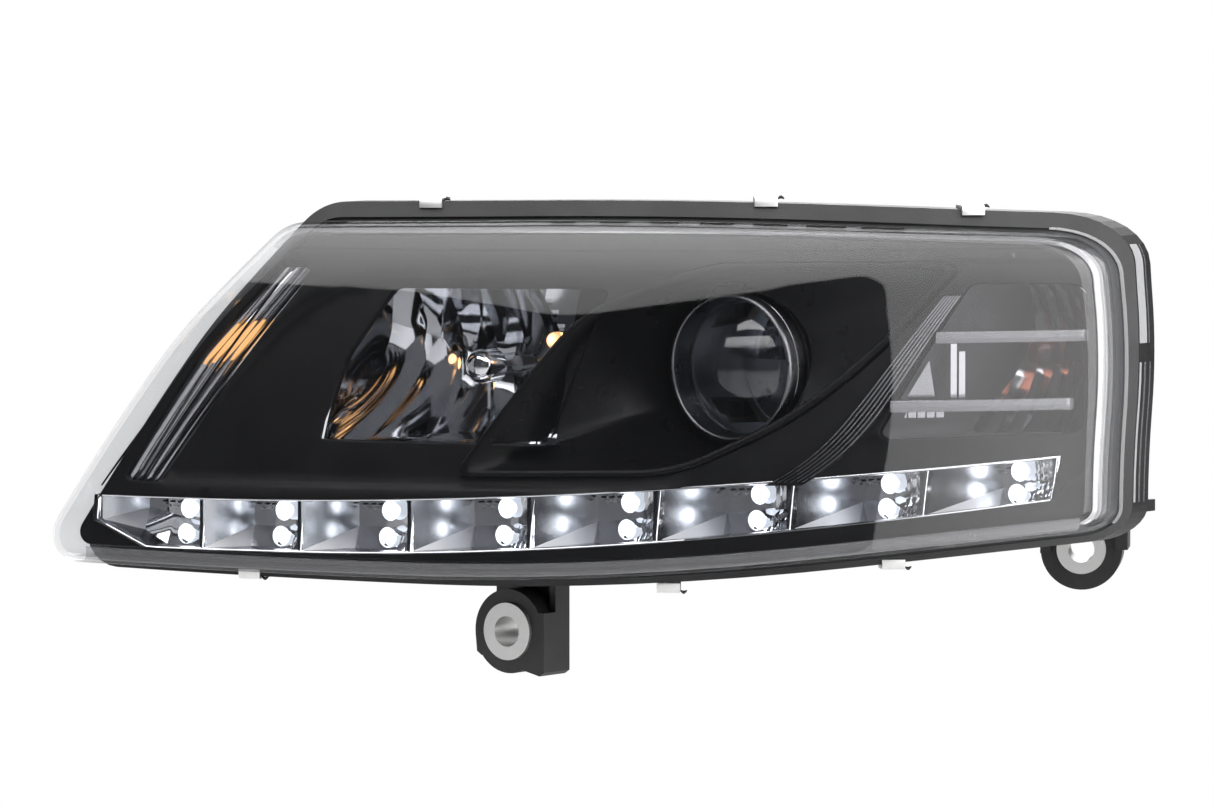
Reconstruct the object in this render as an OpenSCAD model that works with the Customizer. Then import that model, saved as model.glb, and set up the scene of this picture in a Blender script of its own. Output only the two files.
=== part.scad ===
// Projector headlamp for the left side of a car, seen with +Y pointing to the rear of the car,
// +X outboard and +Z up. Inside this file sizes are laid out from the middle of the cover lens
// ("lamp" coordinates); seat() moves the origin to the lower mounting bush.

/* [Cover lens] */
// Radius of the spherical front surface
lens_r = 700; // [650:10:800]
// Wall of the cover lens
lens_wall = 3; // [2.5:0.1:3.5]
// Angle by which the lamp face sweeps back towards the wing
sweep = 37; // [35:0.5:39]
// Angle by which the face leans back
rake = 12; // [10:0.5:14]
// Distance by which the foremost point sits outboard of the middle
nose = 30; // [20:1:40]

/* [Housing] */
// Wall of the moulded housing
wall = 2.5; // [2:0.1:3]
// Height of the bonding flange outside the lens
flange = 5; // [4.5:0.5:6]
// Depth from the rear of the flange's groove to its back
groove_back = 4; // [3:0.5:5]

/* [Trim] */
// Depth of the trim bezel behind the lens
bezel_depth = 18; // [16:0.5:20]
// Thickness of trim mouldings
trim = 2; // [1.6:0.1:2.4]

/* [Projector] */
// Radius of the projector lens
proj_r = 36; // [34:0.5:37]
// Inboard to outboard place of the projector axis
proj_x = 31; // [29:0.5:33]
// Place of the lens nose along the car
proj_y = 62; // [60:0.5:64]
// Height of the projector axis
proj_z = 9; // [7:0.5:11]

/* [Daytime running light] */
// Number of light cells
cells = 8; // [8]
// Radius of one LED dome
led_r = 3.4; // [2.6:0.1:3.6]

/* [Mounts] */
// Bore radius of the lower bush
lower_bore = 8; // [7:0.25:8.5]
// Flange radius of the lower bush
lower_flange = 15; // [14:0.25:15.5]
// Bore radius of the outer bush
outer_bore = 7; // [6:0.25:7.5]
// Flange radius of the outer bush
outer_flange = 13; // [12:0.25:14]

/* [Hidden] */
$fn = 64;
ball_fn = 256;
gap = 0.1;
black = [0.07, 0.07, 0.08];
dark = [0.14, 0.14, 0.15];
chrome = [0.85, 0.86, 0.88];
steel = [0.6, 0.6, 0.62];
clear = [0.9, 0.95, 1, 0.3];

// ---- reference surfaces -----------------------------------------------------------------

// Middle of the bush flange's front face, in lamp coordinates
bush_at = [-61, 0, -128.5];
// Sphere centre: in the face frame first, then turned by the sweep
face_c = [nose, sqrt(pow(lens_r * cos(rake), 2) - nose * nose), -lens_r * sin(rake)];
ball_c = [
    face_c[0] * cos(sweep) - face_c[1] * sin(sweep),
    face_c[0] * sin(sweep) + face_c[1] * cos(sweep),
    face_c[2]
];
// Depth along Y of the front surface at a point
function front_y(x, z) =
    ball_c[1] - sqrt(pow(lens_r, 2) - pow(x - ball_c[0], 2) - pow(z - ball_c[2], 2));

// Corners of the lens outline as seen from straight ahead: x, z and corner radius
corners = [
    [-279, -93.5, 15], [10, -99.5, 1200], [193, -75, 12], [187, 15, 400],
    [172.5, 77.5, 30], [20, 87, 2000], [-162, 84, 20], [-208, 27, 300]
];
// The flange's outline stands higher above the lens along the top
flange_rise = 4.5;
flange_corners = [for (c = corners) [c[0], c[1] + (c[1] > 60 ? flange_rise : 0), c[2]]];
// The bezel reaches closer to the lens along its inboard end
trim_corners = [for (c = corners) [c[0] - (c[0] < -150 ? 3.5 : 0), c[1], c[2]]];
function unit(v) = v / norm(v);
function outward(a, b) = let (d = unit([b[0] - a[0], b[1] - a[1]])) [d[1], -d[0]];
// Points of a rounded polygon, moved outwards by d; anticlockwise corners
function rounded(c, d = 0, n = 8) = [
    for (i = [0 : len(c) - 1])
        let (
            p = c[i],
            n1 = outward(c[(i + len(c) - 1) % len(c)], p),
            n2 = outward(p, c[(i + 1) % len(c)]),
            m = (n1 + n2) / (1 + n1 * n2),
            r = p[2],
            a1 = atan2(n1[1], n1[0]),
            turn = acos(min(1, n1 * n2)) * sign(n1[0] * n2[1] - n1[1] * n2[0]),
            steps = r + d > 0.2 ? n : 0
        )
        if (steps == 0) [p[0], p[1]] + d * m
        else for (k = [0 : steps])
            let (a = a1 + turn * k / steps)
            [p[0], p[1]] - r * m + (r + d) * [cos(a), sin(a)]
];

// Shift of the bonding rim behind the front surface: deeper inboard than outboard
function rim(dy) = [20, dy];
rim_front = 39;
skirt_end = 46;

module ball(shift = [0, 0], r = lens_r)
    translate(ball_c + [shift[0], shift[1], 0]) sphere(r = r, $fn = ball_fn);
// Prism along Y of a polygon given in x and z
module prism(points, y0 = -260, y1 = 320)
    translate([0, y1, 0]) rotate([90, 0, 0]) linear_extrude(y1 - y0) polygon(points);
// Local +Z becomes +Y of the lamp
module along_y(p) translate(p) rotate([-90, 0, 0]) children();
module block(lo, hi) translate(lo) cube(hi - lo);
module tube(ro, ri, h) difference() {
    cylinder(r = ro, h = h);
    translate([0, 0, -1]) cylinder(r = ri, h = h + 2);
}
// Everything inside a prism and between two depths behind the front surface
module layer(points, d0, d1) difference() {
    intersection() { prism(points); ball(d0); }
    ball(d1);
}
module band(outer, inner, d0, d1) difference() {
    layer(outer, d0, d1);
    prism(inner, -270, 330);
}
module seat() translate(-bush_at) children();

// ---- cover lens and bonding joint -------------------------------------------------------

module cover_lens() color(clear) difference() {
    intersection() { prism(rounded(corners)); ball(); }
    intersection() { prism(rounded(corners, -lens_wall), -270, 330); ball(r = lens_r - lens_wall); }
    ball(rim(skirt_end));
}
module lens_seal() color(dark) difference() {
    band(rounded(corners, 1.4), rounded(corners, -4.4), rim(42), rim(skirt_end + 3.9));
    difference() {
        layer(rounded(corners, gap), rim(38), rim(skirt_end + gap));
        prism(rounded(corners, -lens_wall - gap), -270, 330);
    }
}

// ---- housing ----------------------------------------------------------------------------

rim_back = skirt_end + 4 + groove_back;
low_port = [proj_x, 214, proj_z];
low_port_r = 43.5;
high_x = -88;
high_z = 8;
high_port = [high_x, 82, high_z];
high_port_r = 32;
turn_at = [137, 0, 14];
turn_port = [turn_at[0], 248, turn_at[2]];
turn_port_r = 17;
yaw_screw_at = [-38, 0, 40];
pitch_screw_at = [proj_x, 0, -62];
socket_at = [70, 216, -46];
vents_at = [[-22, 216, -46], [-118, 84, 46]];
tabs_at = [[66, 214, 66], [-88, 82, 61]];
foot_z = -97;
bracket_screw_x = [-84, -42];
outer_at = [147, 226, -90.5];
outer_turn = 30;
outer_top = -70;

// Rear of the housing in plan, with the stepped chambers; t moves it inwards
function plan(t) = [
    [-300, -300], [-300, -45 - t], [-222, 10 - t], [-165, 58 - t], [-140, 84 - t], [-50 + t, 84 - t],
    [-50 + t, 216 - t], [94 + t, 216 - t], [94 + t, 250 - t], [158 - t, 258 - t], [186 - t, 222], [215, 200], [215, -300]
];
// Side view: roof and floor close in towards the rear
function side(t) = [
    [-300, -130 + t], [110, -102 + t], [270, -72 + t], [270, 52 - t], [228, 84.6 - t], [-300, 110 - t]
];
module tub(o, t) difference() {
    intersection() {
        prism(rounded(corners, o));
        translate([0, 0, -150]) linear_extrude(300) polygon(plan(t));
        translate([-300, 0, 0]) rotate([90, 0, 90]) linear_extrude(600) polygon(side(t));
    }
    block([114 - t, 204 - t, -150], [320, 330, outer_top + t]);
}
module collar(p, r, h) along_y(p) cylinder(r = r, h = h);
// Lugs that hold the two vertical pivot studs of the aiming frame
frame_y = 148;
module pivot_lugs() {
    block([proj_x - 8, frame_y - 8, 70], [proj_x + 8, frame_y + 8, 80]);
    block([proj_x - 9, frame_y - 9, -94], [proj_x + 9, frame_y + 9, -72]);
}
module ribs() {
    for (x = [-30 : 26 : 100])
        block([x - 1, 200, -74 + abs(x - 35) / 8], [x + 1, 219, -56]);
    for (x = [-20 : 20 : 90])
        block([x - 1, 175, 50], [x + 1, 217, 66]);
    for (x = [-130 : 14 : -60])
        block([x - 1, 60, -88], [x + 1, 87, -40]);
}
module housing() color(black) difference() {
    union() {
        difference() {
            layer(rounded(flange_corners, flange), rim(rim_front), rim(rim_back));
            prism(rounded(corners, -4.6), -270, 330);
        }
        difference() {
            union() {
                intersection() { tub(-4.5, 0); ball(rim(rim_front)); }
                collar([low_port[0], 214.5, low_port[2]], low_port_r + 3, 20);
                collar([high_port[0], 82.5, high_port[2]], high_port_r + 3, 16);
                collar([turn_port[0], 246, turn_port[2]], turn_port_r + 3, 14);
                collar([yaw_screw_at[0], 212, yaw_screw_at[2]], 8, 10);
                collar([pitch_screw_at[0], 212, pitch_screw_at[2]], 8, 10);
                for (v = vents_at) collar([v[0], v[1] - 1, v[2]], 5, 12);
                block([-90, 14, foot_z], [-36, 42, -88]);
                block([120, 208, outer_top - 0.1], [177, 251, -64]);
                for (t = tabs_at) block([t[0] - 16, t[1], t[2] - 4], [t[0] + 16, t[1] + 26, t[2]]);
                ribs();
                block([socket_at[0] - 20, 215, socket_at[2] - 12], [socket_at[0] + 20, 220, socket_at[2] + 12]);
            }
            tub(-7, wall);
        }
        difference() {
            pivot_lugs();
            translate([proj_x, frame_y, -90]) cylinder(r = 3, h = 168);
        }
    }
    band(rounded(corners, 1.5), rounded(corners, -4.5), rim(rim_front - 2), rim(skirt_end + 4));
    collar([low_port[0], 205, low_port[2]], low_port_r, 40);
    collar([high_port[0], 75, high_port[2]], high_port_r, 40);
    collar([turn_port[0], 240, turn_port[2]], turn_port_r, 40);
    collar([yaw_screw_at[0], 205, yaw_screw_at[2]], 4.2, 30);
    collar([pitch_screw_at[0], 205, pitch_screw_at[2]], 4.2, 30);
    for (v = vents_at) collar([v[0], v[1] - 10, v[2]], 3, 40);
    for (t = tabs_at) translate([t[0], t[1] + 15, t[2] - 10]) cylinder(r = 3.5, h = 20);
    block([socket_at[0] - 14, 205, socket_at[2] - 7], [socket_at[0] + 14, 230, socket_at[2] + 7]);
    block([-70, 75, -76], [-62, 95, -70]);
    for (x = bracket_screw_x) translate([x, 33, foot_z - 5]) cylinder(r = 2.05, h = 10.1);
}

// Spring clips over the flange: x, side (1 top, -1 bottom)
clip_places = [[-109, 1], [41, 1], [121, 1], [-177, -1], [25, -1], [115, -1]];
module lens_clips() color(steel) for (c = clip_places) {
    // Height over the clip's rear leg, where the sloping edge stands furthest out
    z = edge_z(c[0] - 8, c[1]) + c[1] * flange + (c[1] > 0 ? flange_rise : 0);
    slope = flank(c[0] - 20, z);
    grip = (rim_back - rim_front) * cos(slope);
    // How far the flange's faces move along the car over the clip's reach
    lean = c[1] * 3.5 * (z - ball_c[2]) / (ball_c[1] - front_y(c[0] - 20, z));
    nose_y = -0.6 - max(0, lean);
    tail_y = grip + 0.6 + max(0, -lean);
    translate([c[0], front_y(c[0] - 20, z) + rim_front, z]) rotate([0, 0, slope]) scale([1, 1, c[1]]) {
        block([-6, nose_y - 1, 0.9], [6, tail_y + 1, 1.9]);
        block([-6, nose_y - 1, -3.2], [6, nose_y, 1.9]);
        block([-6, tail_y, -3.2], [6, tail_y + 1, 1.9]);
    }
}
// Height of the top or bottom edge of the outline, and its slope in plan
function edge_z(x, s) = s > 0 ? (x > 20 ? 87 - (x - 20) * 0.061 : 87 + (x - 20) * 0.0165)
    : (x < 10 ? -99.5 - (x - 10) * 0.021 : -99.5 + (x - 10) * 0.131);
function flank(x, z) = atan2(front_y(x + 5, z) - front_y(x - 5, z), 10);

// ---- trim -------------------------------------------------------------------------------

bz = [0, bezel_depth];
bezel_edge = -7.6;
function below(d) = [0, bezel_depth + d];
high_opening = [
    [-138, -28, 2], [-60, -29, 2], [-30, -29, 3], [-14, 50, 3], [-112, 50, 5], [-130, 14, 40]
];
pod_outline = [
    [-70, -46, 3], [28, -45, 60], [72, -18, 120], [100, 16, 160], [124, 64, 6], [28, 64, 60], [-22, 40, 60]
];
turn_opening = [[103, -27, 4], [174, -25, 4], [165, 51, 8], [126, 52, 4]];
side_opening = [[-240, -52, 3], [-221, -52, 3], [-152, 60, 3], [-169.5, 60, 3], [-206, 12, 30]];
// The running-light slot: boundaries of the cells, and its upper and lower edge
cell_x = [-255, -197, -145, -90.5, -35, 19.5, 73, 122.5, 168];
function strip_top(x) = -60.5 + pow(max(0, x + 200) / 366, 2) * 22.5;
function strip_low(x) = -86 + pow(max(0, x + 140) / 306, 2) * 26.5 + (x < -225 ? (-225 - x) * 0.45 : 0);
strip_steps = [for (i = [0 : 24]) cell_x[0] + i * (cell_x[8] - cell_x[0]) / 24];
function strip(d) = concat(
    [for (x = strip_steps) [x, strip_low(x) - d]],
    [for (i = [24 : -1 : 0]) [strip_steps[i], strip_top(strip_steps[i]) + d]]
);
function widen(points, d) = [
    for (i = [0 : len(points) - 1])
        points[i] + [i == 0 || i == len(points) - 1 ? -d : i == 24 || i == 25 ? d : 0, 0]
];

// Face plate of the bezel with a shallow skirt round it
module main_bezel() color(black) difference() {
    layer(rounded(trim_corners, bezel_edge), bz, below(14));
    layer(rounded(trim_corners, bezel_edge - trim), below(2.4), below(30));
    prism(rounded(high_opening));
    prism(rounded(pod_outline, 0.6));
    prism(rounded(turn_opening));
    prism(rounded(side_opening));
    prism(widen(strip(0.6), 0.6));
    layer(widen(strip(1.4), 1.4), below(2.5), below(40));
    for (p = bezel_screws_at) along_y([p[0], -260, p[1]]) cylinder(r = 2.2, h = 600);
}
bezel_screws_at = [[-138, 69], [-20, 72], [138, 66]];
module bezel_screws() color(steel) for (p = bezel_screws_at) {
    y = front_y(p[0], p[1]) + bezel_depth;
    along_y([p[0], y + 3.6, p[1]]) cylinder(r = 1.8, h = 12);
    along_y([p[0], y + 1, p[1]]) cylinder(r = 2, h = 2.8);
}
// Tear-drop shroud: a rim wall round a recessed floor with the projector's hole
module projector_pod() color(dark) difference() {
    layer(rounded(pod_outline), [0, 16], [0, 34]);
    layer(rounded(pod_outline, -trim), [0, 10], [0, 31.5]);
    along_y([proj_x, 0, proj_z]) cylinder(r = 45, h = 200);
}
// The louvred strip's middle line, its half width, and its edges as lists of points
function louvre_x(z) = let (s = (48 - z) / 98) 123 - 36 * s - 16 * pow(max(s, 0), 6);
function louvre_half(z) = let (s = (48 - z) / 98) 3 + 2.6 * min(1, s * 1.6) + 1.6 * pow(max(s, 0), 6);
function louvre_edge(s) = [for (z = [-50 : 7 : 48]) [louvre_x(z) + s * louvre_half(z), z]];
module louvre_strip() color(steel) difference() {
    layer(concat(louvre_edge(1), [for (i = [len(louvre_edge(-1)) - 1 : -1 : 0]) louvre_edge(-1)[i]]),
        [0, 14], [0, 17.6]);
    prism(rounded(pod_outline, 0.6));
}
bar_z = [25, -10];
module turn_bars() color(clear) for (z = bar_z) {
    start = louvre_x(z + 4) + louvre_half(z + 4) + 1;
    layer([[start, z - 4], [171, z - 4], [170, z + 4], [start + 2, z + 4]], [0, 13.5], [0, 17.6]);
}

// ---- high beam --------------------------------------------------------------------------

high_f = 18;
high_apex = 58;
// Paraboloid of focal length f with its apex at the local origin, opening towards -Z
module paraboloid(f, depth, grow = 0) rotate_extrude()
    polygon(concat([[0, -depth], [0, grow]],
        [for (i = [1 : 14]) let (t = depth * pow(i / 14, 2)) [2 * sqrt(f * t) + grow, grow - t]],
        [[2 * sqrt(f * depth) + grow, -depth]]));
module high_shell(g) intersection() {
    along_y([high_x, high_apex, high_z]) paraboloid(high_f, 130, g);
    block([-147 - g, -120, -30 - g], [-26 + g, 70, 51 + g]);
}
module high_beam_reflector() color(chrome) difference() {
    intersection() {
        high_shell(trim);
        ball(below(6));
        prism(rounded(corners, -12));
    }
    high_shell(0);
    prism(rounded(pod_outline, 2.5));
    along_y([high_x, 20, high_z]) cylinder(r = 11.5, h = 60);
    along_y([position_at[0], 0, position_at[2]]) cylinder(r = 6.2, h = 90);
}
position_at = [-52, 30, 22];
module high_beam_bulb() color(clear) along_y([high_x, 24, high_z]) {
    cylinder(r = 6, h = 34);
    sphere(r = 6);
}
module high_beam_bulb_base() color(steel) {
    along_y([high_x, 58.1, high_z]) cylinder(r = 11, h = 7);
    for (s = [-1, 1]) block([high_x + s * 4 - 1, 65, high_z - 3], [high_x + s * 4 + 1, 76, high_z + 3]);
}
module high_bulb_shield() color(chrome) difference() {
    union() {
        along_y([high_x, 8, high_z]) cylinder(r = 9, h = 16);
        block([high_x - 1, 20, -29.9], [high_x + 1, 23, high_z - 7.8]);
    }
    along_y([high_x, 10, high_z]) cylinder(r = 7.6, h = 20);
}
// Wire clip over a bulb base: hinge leg along X at the top, two side wires and a cross wire
module wire_clip(w, h, r = 0.7) {
    translate([-w / 2 - 3, 0, 0]) rotate([0, 90, 0]) cylinder(r = r, h = w + 6, $fn = 24);
    for (s = [-1, 1]) translate([s * w / 2, 0, -h]) cylinder(r = r, h = h, $fn = 24);
    translate([-w / 2, 0, -h]) rotate([0, 90, 0]) cylinder(r = r, h = w, $fn = 24);
}
high_clip_at = [high_x, 67, high_z + 16];
module high_bulb_clip() color(steel) translate(high_clip_at) wire_clip(14, 30);
module position_bulb() color([1, 0.75, 0.4]) along_y(position_at) {
    cylinder(r = 4.5, h = 24);
    sphere(r = 4.5);
    translate([0, 0, 24]) cylinder(r = 5.8, h = 12);
}
module side_reflector() color(chrome) difference() {
    layer(rounded(side_opening, 2.2), below(2.6), below(16));
    layer(rounded(side_opening, 0), below(0), below(14));
    layer(rounded(corners, 20), below(-40), below(2.6));
}

// ---- turn signal ------------------------------------------------------------------------

turn_apex = 236;
module turn_shell(g) intersection() {
    along_y([turn_at[0], turn_apex, turn_at[2]]) paraboloid(14, 110, g);
    block([101 - g, 80, -29 - g], [174 + g, 260, 53 + g]);
}
module turn_reflector() color(chrome) difference() {
    intersection() {
        turn_shell(trim);
        ball(below(3));
        prism(rounded(corners, -12));
    }
    turn_shell(0);
    prism([[80, -42], [99, -42], [127, 62], [80, 62]]);
    along_y([turn_at[0], 200, turn_at[2]]) cylinder(r = 12, h = 60);
}
module turn_bulb() color([1, 0.6, 0.2]) along_y([turn_at[0], 206, turn_at[2]]) {
    sphere(r = 9);
    cylinder(r = 7.5, h = 28);
}
module turn_bulb_holder() color(dark) {
    along_y([turn_at[0], 234.2, turn_at[2]]) cylinder(r = 11, h = 14);
    along_y([turn_at[0], 248, turn_at[2]]) cylinder(r = turn_port_r - 0.6, h = 12.6);
    along_y([turn_at[0], 260.4, turn_at[2]]) cylinder(r = turn_port_r + 3, h = 4);
    block([turn_at[0] - 14, 264, turn_at[2] - 2.5], [turn_at[0] + 14, 276, turn_at[2] + 2.5]);
}

// ---- daytime running light --------------------------------------------------------------

strip_depth = 22;
cell_wall = 1;
// Flat rear wall of a cell, set by its outboard end
function cell_back(i) = front_y(cell_x[i + 1], strip_top(cell_x[i + 1])) + strip_depth + 11;
function cell_low(i) = min(strip_low(cell_x[i]), strip_low(cell_x[i + 1]));
module drl_reflector() color(chrome) difference() {
    union() for (i = [0 : cells - 1]) intersection() {
        layer(widen(strip(cell_wall), cell_wall), [0, strip_depth - 1], [0, 120]);
        prism(rounded(corners, -7.4));
        block([cell_x[i] - cell_wall, -200, -120],
            [cell_x[i + 1] + cell_wall, cell_back(i) + cell_wall, 0]);
    }
    for (i = [0 : cells - 1]) intersection() {
        prism(strip(0));
        prism(rounded(corners, -7.4 - cell_wall));
        block([cell_x[i] + (i == 0 ? 0 : 0.5), -240, -120], [cell_x[i + 1] - 0.5, cell_back(i), 0]);
    }
}
// Thin bright frame round the slot, in front of the cells
module drl_trim() color(chrome) difference() {
    layer(widen(strip(0.5), 0.5), below(0.2), below(2.4));
    prism(widen(strip(-0.5), -0.5));
}
function led_x(i) = cell_x[i + 1] - 16 - i * 2;
function led_z(i, s) = (strip_top(led_x(i)) + strip_low(led_x(i))) / 2
    + s * (strip_top(led_x(i)) - strip_low(led_x(i))) * 0.26;
module drl_leds() color("white") for (i = [0 : cells - 1]) for (s = [-1, 1])
    along_y([led_x(i), cell_back(i) - 3, led_z(i, s)]) {
        cylinder(r = led_r, h = 2.9);
        intersection() {
            sphere(r = led_r);
            translate([0, 0, -5]) cylinder(r = 5, h = 5.5);
        }
    }
module drl_boards() color([0.1, 0.3, 0.15]) for (i = [0 : cells - 1]) {
    x = led_x(i);
    block([x - 12, cell_back(i) + cell_wall + 0.2, strip_low(x) + 2],
        [x + 9, cell_back(i) + cell_wall + 1.8, strip_top(x) - 2]);
}
module drl_driver() color(dark) {
    block([-108, 87.4, -84], [-52, 102, -54]);
    block([-70, 80, -75.5], [-62.4, 88, -70.5]);
}

// ---- projector module -------------------------------------------------------------------

module proj() along_y([proj_x, proj_y, proj_z]) children();
nose_h = 20;
nose_r = (pow(proj_r - 1.5, 2) + nose_h * nose_h) / (2 * nose_h);
module projector_lens() color(clear) proj() {
    intersection() {
        translate([0, 0, nose_r]) sphere(r = nose_r, $fn = 128);
        cylinder(r = proj_r - 1.5, h = nose_h);
    }
    translate([0, 0, nose_h]) cylinder(r = proj_r, h = 4);
}
module lens_ring() color(steel) proj() difference() {
    translate([0, 0, 8]) cylinder(r = proj_r + 3, h = 16);
    translate([0, 0, 7]) cylinder(r1 = proj_r, r2 = proj_r - 1.3, h = 12.9);
    translate([0, 0, 19.8]) cylinder(r = proj_r + gap, h = 6);
}
flange_z = frame_y - proj_y;
module lens_carrier() color([0.5, 0.5, 0.52]) proj() difference() {
    union() {
        translate([0, 0, 24.1]) cylinder(r = proj_r + 3, h = 6);
        translate([0, 0, 30]) cylinder(r1 = proj_r + 3, r2 = 42, h = flange_z - 36);
        translate([0, 0, flange_z - 6]) cylinder(r = 46, h = 4);
        translate([-6, 46 - 4, flange_z - 6]) cube([12, 14, 4]);
        for (s = [-1, 1]) translate([s * 44, 0, flange_z]) rotate([0, s * 90, 0]) cylinder(r = 4, h = 11.5);
        for (s = [-1, 1]) translate([s * 45 - 3, -5, flange_z - 6]) cube([6, 10, 10]);
    }
    translate([0, 0, 20]) cylinder(r1 = proj_r - 1, r2 = 39, h = flange_z - 24);
    translate([0, 0, flange_z - 8]) cylinder(r = 39, h = 30);
    for (a = [45 : 90 : 315]) rotate([0, 0, a]) translate([0, -9, 34]) cube([60, 18, flange_z - 46]);
    translate([0, rod_z_arm, flange_z - 10]) cylinder(r = 2.4, h = 20);
}
rod_z_arm = 52;
module cutoff_shade() color(dark) proj() difference() {
    translate([0, 0, flange_z - 11]) cylinder(r = 38.3, h = 1);
    translate([-40, -40, flange_z - 14]) cube([40, 40, 8]);
    translate([-1, -40, flange_z - 14]) cube([42, 38.5, 8]);
    for (s = [-1, 1]) translate([s * 24, 18, flange_z - 14]) cylinder(r = 3, h = 8);
}
bowl_len = 52;
// Half ellipsoid as a turned profile, mouth at the local origin
module half_ellipsoid(r, h) rotate_extrude()
    polygon(concat([[0, 0]], [for (i = [0 : 12]) [r * cos(i * 7.5), h * sin(i * 7.5)]]));
module bowl_reflector() color(chrome) proj() translate([0, 0, flange_z - 1.8]) difference() {
    union() {
        half_ellipsoid(38, bowl_len + 2);
        cylinder(r = 41.5, h = 2);
        translate([0, 0, bowl_len - 8]) cylinder(r = 15, h = 10);
    }
    translate([0, 0, -0.01]) half_ellipsoid(36, bowl_len);
    cylinder(r = 10.5, h = 90);
}
bulb_z = flange_z + bowl_len + 0.5;
module low_beam_bulb() color(clear) proj() {
    translate([0, 0, bulb_z - 38]) sphere(r = 6.2);
    translate([0, 0, bulb_z - 38]) cylinder(r = 6.2, h = 37.8);
}
module low_beam_bulb_base() color(steel) proj() translate([0, 0, bulb_z]) {
    cylinder(r = 13, h = 6);
    for (s = [-1, 1]) translate([s * 4 - 1, -3, 6]) cube([2, 6, 9]);
}
low_clip_at = [proj_x, proj_y + bulb_z + 8, proj_z + 16.6];
module low_bulb_clip() color(steel) translate(low_clip_at) wire_clip(16, 31);

// ---- aiming and levelling ---------------------------------------------------------------

frame_top = 54;
frame_low = -69;
module aiming_frame() color(dark) difference() {
    union() {
        translate([proj_x, frame_y, proj_z]) {
            block([-66, -4, frame_low], [66, 4, frame_top + 6]);
            block([-76, -3, 22], [-60, 3, 40]);
        }
    }
    translate([proj_x, frame_y, proj_z]) block([-50, -10, frame_low + 6], [50, 10, frame_top]);
    translate([proj_x - 60, frame_y, proj_z]) rotate([0, 90, 0]) cylinder(r = 4.06, h = 120);
    translate([proj_x, frame_y, -80]) cylinder(r = 3.05, h = 200);
    along_y([yaw_screw_at[0], frame_y - 20, yaw_screw_at[2]]) cylinder(r = 5.5, h = 40);
}
module pivot_studs() color(steel) translate([proj_x, frame_y, 0]) {
    translate([0, 0, 64.6]) cylinder(r = 3, h = 12);
    translate([0, 0, -78]) cylinder(r = 3, h = 22);
}
module aim_nut() color("white") along_y([yaw_screw_at[0], frame_y - 5, yaw_screw_at[2]]) tube(5.45, 4.6, 10);
module knob_screw(at, back) {
    along_y([at[0], back, at[2]]) cylinder(r = 4, h = 223 - back);
    along_y([at[0], 222.6, at[2]]) cylinder(r = 9, h = 9, $fn = 12);
}
module yaw_screw() color("white") {
    knob_screw(yaw_screw_at, 150);
    along_y([yaw_screw_at[0], 136, yaw_screw_at[2]]) cylinder(r = 3, h = 15);
}
module pitch_screw() color("white") knob_screw(pitch_screw_at, 213.6);
rod_z = proj_z - rod_z_arm;
module level_motor() color(dark) difference() {
    block([proj_x - 26, 176, -77], [proj_x + 26, 213.4, -34]);
    along_y([proj_x, 160, rod_z]) cylinder(r = 3.4, h = 30);
}
module level_rod() color("white") along_y([proj_x, 0, rod_z]) {
    translate([0, 0, 139.6]) cylinder(r = 1.8, h = 32);
    translate([0, 0, 146.4]) cylinder(r = 3, h = 40);
}

// ---- rear fittings ----------------------------------------------------------------------

module cap(r) {
    tube(r - 0.6, r - 3, 10);
    translate([0, 0, 10]) cylinder(r = r - 0.6, h = 2.4);
    translate([0, 0, 12.3]) cylinder(r = r + 3.5, h = 3);
    difference() {
        translate([0, 0, 15.2]) cylinder(r = r - 4, h = 6);
        for (s = [-1, 1]) translate([s * (r / 2 + 3) - r / 2, -r, 17]) cube([r - 3, 2 * r, 8]);
    }
}
module low_beam_cap() color(black) along_y([low_port[0], 223, low_port[2]]) cap(low_port_r);
module low_cap_seal() color([0.3, 0.1, 0.1])
    along_y([low_port[0], 234.6, low_port[2]]) tube(low_port_r + 2.6, low_port_r + 0.3, 0.6);
module high_beam_cap() color(black) along_y([high_port[0], 87, high_port[2]]) cap(high_port_r);
module high_cap_seal() color([0.3, 0.1, 0.1])
    along_y([high_port[0], 98.6, high_port[2]]) tube(high_port_r + 2.6, high_port_r + 0.3, 0.6);
module main_connector() color(black) difference() {
    union() {
        block([socket_at[0] - 18, 220.1, socket_at[2] - 10], [socket_at[0] + 18, 240, socket_at[2] + 10]);
        block([socket_at[0] - 13.8, 213.9, socket_at[2] - 6.8], [socket_at[0] + 13.8, 221, socket_at[2] + 6.8]);
        block([socket_at[0] - 4, 224, socket_at[2] + 9], [socket_at[0] + 4, 236, socket_at[2] + 12]);
    }
    block([socket_at[0] - 16, 223, socket_at[2] - 8], [socket_at[0] + 16, 241, socket_at[2] + 8]);
}
module connector_pins() color("gold") for (i = [-2 : 2]) for (s = [-1, 1])
    block([socket_at[0] + i * 5.6 - 0.6, 223, socket_at[2] + s * 3 - 0.6],
        [socket_at[0] + i * 5.6 + 0.6, 232, socket_at[2] + s * 3 + 0.6]);
module vent_caps() color(dark) for (v = vents_at) along_y([v[0], v[1] + 3, v[2]]) difference() {
    cylinder(r = 7.5, h = 12);
    translate([0, 0, -1]) cylinder(r = 5.1, h = 9.4);
}

// ---- mounts -----------------------------------------------------------------------------

// Flanged bush along +Y with its front face at the local origin
module bush(flange_r, bore_r, length) rotate([-90, 0, 0]) {
    tube(flange_r, bore_r, 2);
    tube(bore_r + 3, bore_r, length);
}
module lower_bush() color("silver") translate(bush_at) bush(lower_flange, lower_bore, 25);
module outer_place() translate(outer_at) rotate([0, 0, outer_turn]) children();
module outer_bush() color("silver") outer_place() bush(outer_flange, outer_bore, 25);
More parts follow.
